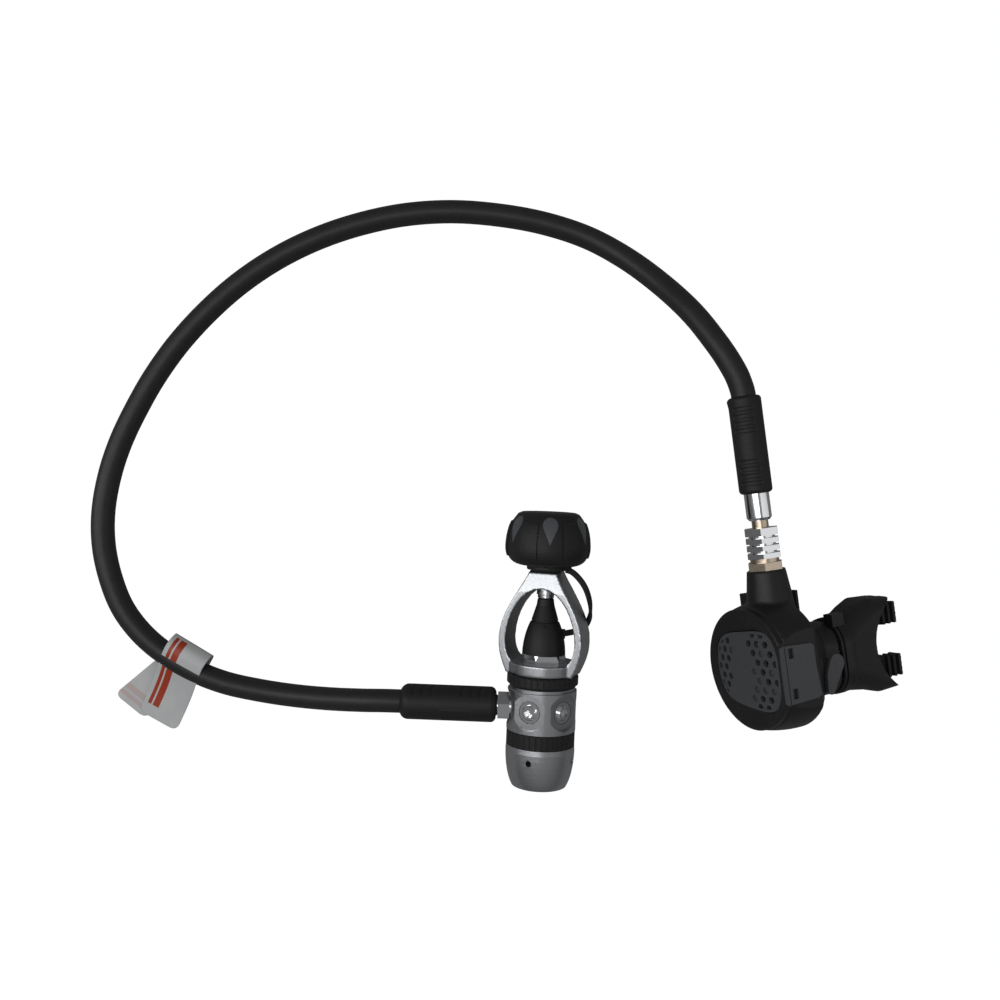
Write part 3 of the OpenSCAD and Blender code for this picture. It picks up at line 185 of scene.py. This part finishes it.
def smooth_path(points, step):
    """Catmull-Rom curve through the points, resampled at even steps of this length."""
    ends = np.vstack([2 * points[0] - points[1], points, 2 * points[-1] - points[-2]])
    t = np.linspace(0, 1, 40, endpoint=False)[:, None]
    a, b, c, d = ends[:-3, None], ends[1:-2, None], ends[2:-1, None], ends[3:, None]
    curve = 0.5 * (
        2 * b + (c - a) * t + (2 * a - 5 * b + 4 * c - d) * t**2 + (3 * b - a - 3 * c + d) * t**3
    )
    curve = np.vstack([curve.reshape(-1, 3), points[-1]])
    along = np.concatenate([[0], np.cumsum(np.linalg.norm(np.diff(curve, axis=0), axis=1))])
    even = np.linspace(0, along[-1], int(along[-1] / step) + 1)
    return np.stack([np.interp(even, along, curve[:, k]) for k in range(3)], axis=1)


def carried(path, section, up=(0, 0, 1)):
    """Grid of a section carried along a path: each point is the path's point plus the section's
    x along the level side and its y along the side's normal."""
    ahead = np.gradient(path, axis=0)
    ahead /= np.linalg.norm(ahead, axis=1)[:, None]
    side = np.cross(ahead, up)
    side /= np.linalg.norm(side, axis=1)[:, None]
    top = np.cross(side, ahead)
    return path[:, None] + section[..., :1] * side[:, None] + section[..., 1:] * top[:, None]


def ring(count):
    """Unit circle as a row of points."""
    turn = np.arange(count) * 2 * math.pi / count
    return np.stack([np.cos(turn), np.sin(turn)], axis=1)


hose_radius = 0.007
hose_route = np.array(
    [
        (-0.1391, -0.0353, 0.0216), (-0.1841, -0.0353, 0.0216), (-0.203, -0.036, 0.020),
        (-0.224, -0.037, 0.0145), (-0.246, -0.037, 0.009), (-0.268, -0.035, 0.007),
        (-0.290, -0.031, 0.007), (-0.310, -0.024, 0.007), (-0.328, -0.014, 0.007),
        (-0.343, -0.002, 0.007), (-0.355, 0.013, 0.007), (-0.363, 0.031, 0.007),
        (-0.368, 0.051, 0.007), (-0.369, 0.072, 0.007), (-0.366, 0.094, 0.007),
        (-0.360, 0.115, 0.007), (-0.351, 0.136, 0.007), (-0.340, 0.157, 0.007),
        (-0.326, 0.178, 0.007), (-0.309, 0.198, 0.007), (-0.290, 0.216, 0.007),
        (-0.268, 0.232, 0.007), (-0.244, 0.245, 0.007), (-0.218, 0.255, 0.007),
        (-0.190, 0.262, 0.007), (-0.161, 0.265, 0.007), (-0.132, 0.264, 0.007),
        (-0.104, 0.260, 0.007), (-0.077, 0.252, 0.008), (-0.0535, 0.239, 0.013),
        (-0.0335, 0.222, 0.024), (-0.0168, 0.203, 0.038), (-0.0035, 0.1845, 0.0465),
        (0.0055, 0.1705, 0.0500), (0.0107, 0.1600, 0.0509), (0.0139, 0.1475, 0.051),
        (0.0216, 0.1013, 0.051),
    ]
)
hose_path = smooth_path(hose_route, 0.002)
hose = surface("air_hose", carried(hose_path, hose_radius * ring(40)[None]), flip=True)
hose_rubber = Finish("hose_rubber", (0.016, 0.016, 0.018), 0.46, Specular_IOR_Level=0.42)
hose_rubber.shade(hose_rubber.grain(0.004, 4), 0.75, 1.35)
hose_rubber.set("Roughness", hose_rubber.grain(0.0015, 3) * 0.16 + 0.38)
hose_rubber.bump(hose_rubber.grain(0.0005, 2) * 0.6 + hose_rubber.grain(0.006, 1), 0.00006)
hose_rubber.on(hose)
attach(hose, "first_stage")
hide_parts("hose")


# Hose sleeves: thick rubber mouldings pushed over the ferrules, so that the hose can't kink
# where it is crimped. Each has a parting line, grip slots and, by the first stage, a bare panel.
def turn_matrix(x=0.0, y=0.0, z=0.0):
    """Turns by these degrees about X, then Y, then Z."""
    a, b, c = (math.radians(v) for v in (x, y, z))
    about_x = np.array([[1, 0, 0], [0, math.cos(a), -math.sin(a)], [0, math.sin(a), math.cos(a)]])
    about_y = np.array([[math.cos(b), 0, math.sin(b)], [0, 1, 0], [-math.sin(b), 0, math.cos(b)]])
    about_z = np.array([[math.cos(c), -math.sin(c), 0], [math.sin(c), math.cos(c), 0], [0, 0, 1]])
    return about_z @ about_y @ about_x


def ease(value, low, high):
    """Rises smoothly from 0 at low to 1 at high."""
    t = np.clip((value - low) / (high - low), 0, 1)
    return t * t * (3 - 2 * t)


def hump(value, low, high, soft):
    """1 between low and high and 0 outside, with soft edges."""
    return ease(value, low - soft, low + soft) * (1 - ease(value, high - soft, high + soft))


def sleeve(name, start, way, side, length, radius, bore, rounds, relief):
    """A tube along way from start, lathed from a profile with rounded ends, whose outside is
    raised by relief(distance along, angle from straight up towards side)."""
    along = length * (1 - np.cos(np.linspace(0, math.pi, 230))) / 2
    reach = [np.clip(1 - d / e, 0, 1) for d, e in ((along, rounds[0]), (length - along, rounds[1]))]
    outer = radius - sum(e * (1 - np.sqrt(1 - c * c)) for e, c in zip(rounds, reach))
    turn = (np.arange(150) * 2 * math.pi / 150)[None]
    turn = (turn + math.pi) % (2 * math.pi) - math.pi
    raised = relief(along[:, None], turn) * np.minimum(1, (1 - reach[0] - reach[1]))[:, None]
    radii = np.concatenate([outer[:, None] + raised, np.full((2, 150), bore)])
    steps = np.concatenate([along, [length, 0]])[:, None, None]
    up = np.array((0, 0, 1.0))
    grid = start + steps * way + radii[..., None] * (
        np.cos(turn)[..., None] * up + np.sin(turn)[..., None] * side
    )
    piece = surface(name, grid, wrap=(True, True), flip=True)
    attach(piece, "first_stage")
    return piece


first_sleeve_radius, second_sleeve_radius = 0.0104, 0.0094
sleeve_bore = hose_radius + 0.00002


def first_relief(along, turn):
    """A raised back above a stepped parting line, slots on one side and a bare panel."""
    drop = 0.0053 + 0.0028 * hump(along, 0.0125, 0.0355, 0.0018)
    drop = drop - 0.0012 * (1 - ease(along, 0.009, 0.012))
    line = np.arcsin(np.clip(drop / first_sleeve_radius, -1, 1))
    back = 1 - ease(turn, line - 0.03, line + 0.05)
    back = back * ease(turn, -1.75, -1.65)
    slots = sum(
        hump(along, c - 0.0009 + 0.002 * (turn + 1), c + 0.0009 + 0.002 * (turn + 1), 0.0003)
        for c in (0.0095, 0.0148, 0.0202, 0.0385, 0.0440, 0.0495)
    )
    panel = hump(along, 0.0135, 0.0335, 0.0007) * hump(turn, 0.22, 0.86, 0.03)
    rim = hump(along, 0.0145, 0.0325, 0.0007) * hump(turn, 0.28, 0.79, 0.03)
    slots = slots * hump(turn, -1.35, -0.62, 0.06)
    return 0.00045 * back - 0.0005 * slots + 0.00025 * (panel - rim)


def second_relief(along, turn):
    """Two sets of four round-ended slots and a fine parting line between them."""
    slots = 0
    for c in (0.006, 0.0101, 0.0142, 0.0183, 0.0362, 0.0403, 0.0444, 0.0485):
        reach = np.hypot(np.clip(np.abs(turn - 0.44) - 0.56, 0, None) * 0.0086, along - c)
        slots = slots + 1 - ease(reach, 0.0009, 0.0014)
    line = hump(turn, -0.14, -0.1, 0.015) * hump(along, 0.0205, 0.034, 0.0006)
    flare = 0.0006 * ease(along, 0.049, 0.055) * hump(turn, 0.7, 2.2, 0.4)
    return -0.0004 * slots - 0.00015 * line + flare


sleeve_rubber = Finish("sleeve_rubber", (0.012, 0.012, 0.013), 0.5, Specular_IOR_Level=0.36)
sleeve_rubber.shade(sleeve_rubber.grain(0.0022, 4), 0.75, 1.4)
sleeve_rubber.set("Roughness", sleeve_rubber.grain(0.001, 3) * 0.2 + 0.42)
sleeve_rubber.bump(sleeve_rubber.grain(0.0006, 3), 0.00006)
port_centre = np.array((-0.0947, -0.0353, 0.0216))
first_sleeve = sleeve(
    "first_sleeve", port_centre + (-0.0274, 0, 0), np.array((-1.0, 0, 0)), np.array((0, -1.0, 0)),
    0.058, first_sleeve_radius, sleeve_bore, (0.0032, 0.0052), first_relief,
)
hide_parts("sleeve_first")
inlet_turn = turn_matrix(z=9.5)
inlet_way = inlet_turn @ np.array((0, 1.0, 0))
inlet_side = inlet_turn @ np.array((-1.0, 0, 0))
valve_centre = np.array((0.0384, 0.0011, 0.051))
second_sleeve = sleeve(
    "second_sleeve", valve_centre + 0.0979 * inlet_way, inlet_way, inlet_side,
    0.056, second_sleeve_radius, sleeve_bore, (0.0024, 0.0022), second_relief,
)
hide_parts("sleeve_second")
sleeve_rubber.on(first_sleeve, second_sleeve)


# Tag: a stiff paper label folded once round the hose, light grey with two orange stripes along
# one edge of its front leaf. The leaves lie on the table, the back one turned a little.
tag_width = 0.0265


def tag_leaf(u, v):
    """Point of the folded label: u runs from the front leaf's free end, over the hose, under it
    and out to the back leaf's end; v runs across it. The front leaf sags to the table, and the
    back leaf is turned a little about the hose."""
    bend = smooth_path(
        np.array(
            [
                (-0.0465, 0, 0.0012), (-0.040, 0, 0.0016), (-0.030, 0, 0.0030), (-0.020, 0, 0.0062),
                (-0.011, 0, 0.0112), (-0.005, 0, 0.0139), (0, 0, 0.0145), (0.0045, 0, 0.0131),
                (0.0071, 0, 0.0090), (0.0074, 0, 0.0060), (0.0062, 0, 0.0026), (0.003, 0, 0.0005),
                (-0.002, 0, 0.0003), (-0.012, 0, 0.0003), (-0.028, 0, 0.0004), (-0.0505, 0, 0.0004),
            ]
        ),
        0.0005,
    )
    spot = np.linspace(0, 1, len(bend))
    reach = np.interp(u, spot, bend[:, 0])
    high = np.interp(u, spot, bend[:, 2])
    back = ease(u, 0.55, 0.66)
    swing = np.radians(-5 + 24 * back) * (reach < 0)
    across = v * (tag_width - 0.001 * back) + 0.0008 * back
    sideways = across * np.cos(swing) + reach * np.sin(swing)
    outward = reach * np.cos(swing) - across * np.sin(swing) * 0.4
    return np.stack([sideways, outward, high], axis=-1)


tag_u = np.linspace(0, 1, 220)[:, None]
tag_v = np.linspace(-0.5, 0.5, 40)[None]
end_gap = 0.115 * np.minimum(tag_u, 1 - tag_u)
corner = 0.0045
corner_cut = corner - np.sqrt(corner**2 - np.clip(corner - end_gap, 0, corner) ** 2)
shrink = 1 - 2 * corner_cut / tag_width
tag_local = tag_leaf(tag_u + 0 * tag_v, tag_v * shrink)
tag_grid = tag_local @ turn_matrix(z=-29).T + np.array((-0.3135, -0.0150, 0))
tag = surface("paper_tag", tag_grid, wrap=(False, False), caps=False)
tag_map = tag.data.uv_layers.new(name="along_and_across")
corners = np.empty(len(tag.data.loops), int)
tag.data.loops.foreach_get("vertex_index", corners)
tag_uv = np.stack(np.broadcast_arrays(tag_u, tag_v + 0.5), axis=-1).reshape(-1, 2)[corners]
tag_map.data.foreach_set("uv", tag_uv.astype(np.float32).ravel())
thick = tag.modifiers.new("paper", "SOLIDIFY")
thick.thickness, thick.offset = 0.00025, 1
tag_paper = Finish("tag_paper", (0.50, 0.51, 0.52), 0.45)
printed = tag_paper.node("UVMap", {"uv_map": "along_and_across"})
on_tag = [tag_paper.node("SeparateXYZ", inputs={0: printed}, output=k) for k in (0, 1)]


def band(value, low, high):
    """1 where a value lies between low and high."""
    return (value > low) * (value < high)


front = on_tag[0] < 0.47
stripes = band(on_tag[1], 0.10, 0.185) + band(on_tag[1], 0.225, 0.385)
stripes = stripes * front * (on_tag[0] > 0.06)
faint = (band(on_tag[0], 0.905, 0.935) + band(on_tag[0], 0.95, 0.972)) * 0.35
blank = tag_paper.mix(tag_paper.grain(0.012, 2), (0.44, 0.46, 0.48), (0.56, 0.56, 0.55))
inked = tag_paper.mix(stripes, blank, (0.36, 0.035, 0.008))
tag_paper.set("Base Color", tag_paper.mix(faint, inked, (0.5, 0.2, 0.17)))
tag_paper.set("Roughness", tag_paper.grain(0.003, 2) * 0.14 + 0.36)
tag_paper.bump(tag_paper.grain(0.008, 2), 0.0002)
tag_paper.on(tag)
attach(tag, "first_stage")
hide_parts("hose_tag")

# Table and lamps: a pure white sweep under the set, a broad soft lamp above its left side, a
# weaker one on the right, and a dim sky, so that metal shows dark flanks beside one streak.
pure_white = 1.02
table_mesh = bpy.data.meshes.new("table")
table_corners = 6 * np.array([(-1, -1, 0), (1, -1, 0), (1, 1, 0), (-1, 1, 0)])
table_mesh.from_pydata(table_corners.tolist(), [], [(0, 1, 2, 3)])
table = bpy.data.objects.new("table", table_mesh)
scene.collection.objects.link(table)
white_table = bpy.data.materials.new("white_table")
white_table.use_nodes = True
tree = white_table.node_tree
tree.nodes.clear()
matt = tree.nodes.new("ShaderNodeBsdfDiffuse")
matt.inputs["Color"].default_value = (0.3, 0.3, 0.3, 1)
glow = tree.nodes.new("ShaderNodeEmission")
glow.inputs["Color"].default_value = (1, 1, 1, 1)
glow.inputs["Strength"].default_value = pure_white
table_rays = tree.nodes.new("ShaderNodeLightPath")
table_mix = tree.nodes.new("ShaderNodeMixShader")
tree.links.new(table_rays.outputs["Is Camera Ray"], table_mix.inputs[0])
tree.links.new(matt.outputs[0], table_mix.inputs[1])
tree.links.new(glow.outputs[0], table_mix.inputs[2])
table_out = tree.nodes.new("ShaderNodeOutputMaterial")
tree.links.new(table_mix.outputs[0], table_out.inputs["Surface"])
table_mesh.materials.append(white_table)

world = bpy.data.worlds.new("studio")
scene.world = world
world.use_nodes = True
sky = world.node_tree
sky.nodes.clear()
sky_rays = sky.nodes.new("ShaderNodeLightPath")
look = sky.nodes.new("ShaderNodeTexCoord")
parts = sky.nodes.new("ShaderNodeSeparateXYZ")
sky.links.new(look.outputs["Generated"], parts.inputs[0])
fade = sky.nodes.new("ShaderNodeMapRange")
for index, number in ((1, 0.1), (2, 0.95), (3, 0.12), (4, 0.3)):
    fade.inputs[index].default_value = number
sky.links.new(parts.outputs[2], fade.inputs[0])
level = sky.nodes.new("ShaderNodeMix")
level.inputs[2].default_value = 0.4
sky.links.new(sky_rays.outputs["Is Glossy Ray"], level.inputs[0])
sky.links.new(fade.outputs[0], level.inputs[3])
clear = sky.nodes.new("ShaderNodeMix")
clear.inputs[3].default_value = pure_white
sky.links.new(sky_rays.outputs["Is Camera Ray"], clear.inputs[0])
sky.links.new(level.outputs[0], clear.inputs[2])
even = sky.nodes.new("ShaderNodeBackground")
sky.links.new(clear.outputs[0], even.inputs["Strength"])
sky_out = sky.nodes.new("ShaderNodeOutputWorld")
sky.links.new(even.outputs[0], sky_out.inputs["Surface"])


def lamp(name, place, aim, width, depth, power):
    """A soft rectangle of light at a place, turned towards what it aims at."""
    data = bpy.data.lights.new(name, "AREA")
    data.shape = "RECTANGLE"
    data.size, data.size_y, data.energy = width, depth, power
    holder = bpy.data.objects.new(name, data)
    way = np.subtract(aim, place)
    holder.location = place
    holder.rotation_euler = (
        math.atan2(math.hypot(way[0], way[1]), -way[2]),
        0,
        math.atan2(way[1], way[0]) - math.pi / 2,
    )
    scene.collection.objects.link(holder)


lamp("left_lamp", (-0.95, 0.1, 1.15), (-0.1, 0, 0), 0.5, 2.2, 8.5)
lamp("right_lamp", (0.95, 0.1, 0.75), (0, 0, 0), 0.3, 1.6, 0.9)


def moulded(name, node, step, rounds, body):
    """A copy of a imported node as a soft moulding: remeshed at this step, its edges eased."""
    piece = bpy.data.objects.new(name, nodes[node].data.copy())
    scene.collection.objects.link(piece)
    whole = piece.modifiers.new("whole", "REMESH")
    whole.mode, whole.voxel_size, whole.use_smooth_shade = "VOXEL", step, True
    eased = piece.modifiers.new("eased", "SMOOTH")
    eased.factor, eased.iterations = 0.5, rounds
    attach(piece, body)
    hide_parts(node)
    return piece


# First stage body: forged brass under satin pearl plating, turned and drilled. Bands of black
# rubber cover the seams, and chrome plugs close the ports that aren't used.
satin_chrome = Finish("satin_chrome", (0.52, 0.535, 0.555), 0.34, 1.0)
satin_chrome.shade(satin_chrome.grain(0.0009, 3), 0.82, 1.12)
satin_chrome.set("Roughness", satin_chrome.grain(0.0016, 3) * 0.12 + 0.25)
satin_chrome.bump(satin_chrome.grain(0.00045, 3), 0.00003)
satin_chrome.on("end_cap", "stage_body", "yoke")
forged_yoke = moulded("forged_yoke", "yoke", 0.0005, 4, "first_stage")
satin_chrome.on(forged_yoke)

bright_chrome = Finish("bright_chrome", (0.84, 0.85, 0.87), 0.1, 1.0)
bright_chrome.set("Roughness", bright_chrome.grain(0.003, 3) * 0.1 + 0.06)
bright_chrome.bump(bright_chrome.grain(0.0012, 2), 0.000008)
bright_chrome.on(
    "port_plugs", "yoke_retainer", "screw_foot", "ferrule_first", "ferrule_second",
    "hose_end_fitting", "swivel_nut",
)

band_rubber = Finish("band_rubber", (0.012, 0.012, 0.013), 0.5, Specular_IOR_Level=0.38)
band_rubber.shade(band_rubber.grain(0.002, 3), 0.8, 1.3)
band_rubber.set("Roughness", band_rubber.grain(0.001, 2) * 0.2 + 0.42)
band_rubber.bump(band_rubber.grain(0.0004, 2), 0.00004)
band_rubber.on("cap_band", "port_band", "dust_cap")

seal_rubber = Finish("seal_rubber", (0.02, 0.02, 0.022), 0.4)
seal_rubber.set("Roughness", seal_rubber.grain(0.001) * 0.15 + 0.33)
seal_rubber.on(
    "port_plug_seals", "stage_seals", "hose_seals", "stage_diaphragm", "demand_diaphragm",
    "exhaust_valve",
)

bare_brass = Finish("bare_brass", (0.66, 0.55, 0.43), 0.26, 1.0)
bare_brass.shade(bare_brass.grain(0.003, 3), 0.94, 1.04)
bare_brass.set("Roughness", bare_brass.grain(0.001, 3) * 0.14 + 0.2)
bare_brass.on("hose_tailpiece", "inlet_fitting", "orifice", "barrel_nut")

turned_brass = Finish("turned_brass", (0.70, 0.62, 0.47), 0.3, 1.0)
turned_brass.set("Roughness", turned_brass.grain(0.0008) * 0.16 + 0.22)
turned_brass.on(
    "spring_adjuster", "spring_pad", "valve_lifter", "valve_seat", "balance_plug",
    "valve_barrel", "stage_valve",
)

spring_steel = Finish("spring_steel", (0.62, 0.63, 0.64), 0.3, 1.0)
spring_steel.set("Roughness", spring_steel.grain(0.0006) * 0.2 + 0.2)
spring_steel.on(
    "main_spring", "stage_valve_spring", "purge_spring", "poppet_spring", "filter_clip",
    "demand_lever", "knob_hub", "yoke_screw",
)

sintered_bronze = Finish("sintered_bronze", (0.5, 0.41, 0.3), 0.6, 0.8)
sintered_bronze.bump(sintered_bronze.grain(0.0003, 3), 0.0001)
sintered_bronze.on("inlet_filter")

# Dust cap's strap: one moulding with the cap's own rubber, looped behind the yoke's arm up to a
# ring that the clamping screw passes through.
stage_turn = turn_matrix(x=1.854 - 90)
stage_base = np.array((-0.0947, -0.0821, 0.02008))
strap_route = np.array(
    [
        (0.0110, 0.0030, 0.0908), (0.0116, 0.0030, 0.0910), (0.0170, 0.0046, 0.0919),
        (0.0216, 0.0052, 0.0934), (0.0252, 0.0048, 0.0966), (0.0272, 0.0036, 0.1019),
        (0.0272, 0.0026, 0.1079), (0.0258, 0.0016, 0.1140), (0.0232, 0.0008, 0.1200),
        (0.0194, 0.0004, 0.1251), (0.0152, 0.0002, 0.1287), (0.0114, 0, 0.1300),
    ]
)
strap_round = np.sign(ring(32)) * np.abs(ring(32)) ** 0.75 * (0.0011, 0.00185)
strap_grid = carried(smooth_path(strap_route, 0.0006), strap_round[None], up=(0, 0.1, 1))
strap = surface("cap_strap_loop", strap_grid @ stage_turn.T + stage_base, flip=True)
ring_turn = (np.arange(96) * 2 * math.pi / 96)[None]
ring_profile = np.array(
    [
        (0.0067, 0), (0.0118, 0), (0.0122, 0.0004), (0.0122, 0.0022), (0.0118, 0.0026),
        (0.0067, 0.0026),
    ]
)[:, None]
# The ring's rim runs out in a rounded ear where the strap joins it.
from_ear = (ring_turn + math.pi) % (2 * math.pi) - math.pi
ear = 0.0026 * np.exp(-(from_ear**2) * 9)
ring_reach = ring_profile[..., 0] + (ring_profile[..., 0] > 0.008) * ear
ring_level = ring_profile[..., 1] + 0.1297 + 0 * ring_turn
ring_grid = np.stack(
    [ring_reach * np.cos(ring_turn), ring_reach * np.sin(ring_turn), ring_level], axis=-1
)
strap_ring = surface(
    "cap_strap_ring", ring_grid @ stage_turn.T + stage_base, wrap=(True, True), flip=True
)
softened = strap_ring.modifiers.new("edges", "BEVEL")
softened.width, softened.segments = 0.0003, 2
for piece in (strap, strap_ring):
    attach(piece, "dust_cap")
    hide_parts("cap_strap")
    band_rubber.on(piece)

# Knob: black rubber moulded over a plastic core, with a grey teardrop let in at the top of each
# flute.
knob_rubber = Finish("knob_rubber", (0.012, 0.012, 0.013), 0.5, Specular_IOR_Level=0.38)
knob_rubber.shade(knob_rubber.grain(0.0016, 4), 0.75, 1.4)
knob_rubber.set("Roughness", knob_rubber.grain(0.0008, 3) * 0.24 + 0.4)
knob_rubber.bump(knob_rubber.grain(0.0005, 3), 0.00007)
knob_rubber.on("knob_grip")

inlay_plastic = Finish("inlay_plastic", (0.075, 0.08, 0.088), 0.38)
inlay_plastic.shade(inlay_plastic.grain(0.001, 3), 0.9, 1.12)
inlay_plastic.set("Roughness", inlay_plastic.grain(0.0007, 2) * 0.2 + 0.28)
inlay_plastic.on("knob_inlays_set")

# Demand valve: a moulded black case with its ring screwed on, and dark-grey covers. The case's
# edges are eased, while the ring, the covers and the inner pieces keep their packed form.
case_plastic = Finish("case_plastic", (0.011, 0.011, 0.012), 0.42, Specular_IOR_Level=0.42)
case_plastic.shade(case_plastic.grain(0.0016, 3), 0.8, 1.3)
case_plastic.set("Roughness", case_plastic.grain(0.0008, 3) * 0.2 + 0.34)
case_plastic.bump(case_plastic.grain(0.0004, 3), 0.00005)
case_plastic.on("case", "front_ring", "exhaust_tee", "mouthpiece_tie")
moulded_case = moulded("moulded_case", "case", 0.0008, 5, "second_stage")
case_plastic.on(moulded_case)

panel_plastic = Finish("panel_plastic", (0.06, 0.062, 0.068), 0.42)
panel_plastic.shade(panel_plastic.grain(0.001, 3), 0.86, 1.14)
panel_plastic.set("Roughness", panel_plastic.grain(0.0008, 3) * 0.2 + 0.34)
panel_plastic.bump(panel_plastic.grain(0.0003, 3), 0.00003)
panel_plastic.on("purge_cover", "side_panel", "venturi_lever")

white_plastic = Finish("white_plastic", (0.78, 0.78, 0.76), 0.4)
white_plastic.set("Roughness", white_plastic.grain(0.001) * 0.1 + 0.35)
white_plastic.on("poppet", "diaphragm_disc")

# Mouthpiece: soft black silicone, one moulding. Its neck is tied over the case's tube, flares
# into the bent lip flange, and carries a ribbed bite tab on each side.
mouth_silicone = Finish("mouth_silicone", (0.011, 0.011, 0.012), 0.52, Specular_IOR_Level=0.4)
mouth_silicone.shade(mouth_silicone.grain(0.0007, 3), 0.7, 1.6)
mouth_silicone.set("Roughness", mouth_silicone.grain(0.001, 3) * 0.2 + 0.42)
mouth_silicone.bump(mouth_silicone.grain(0.0005, 3), 0.00005)
mouthpiece = moulded("silicone_mouthpiece", "mouthpiece", 0.0005, 5, "second_stage")
mouth_silicone.on("mouthpiece", mouthpiece)
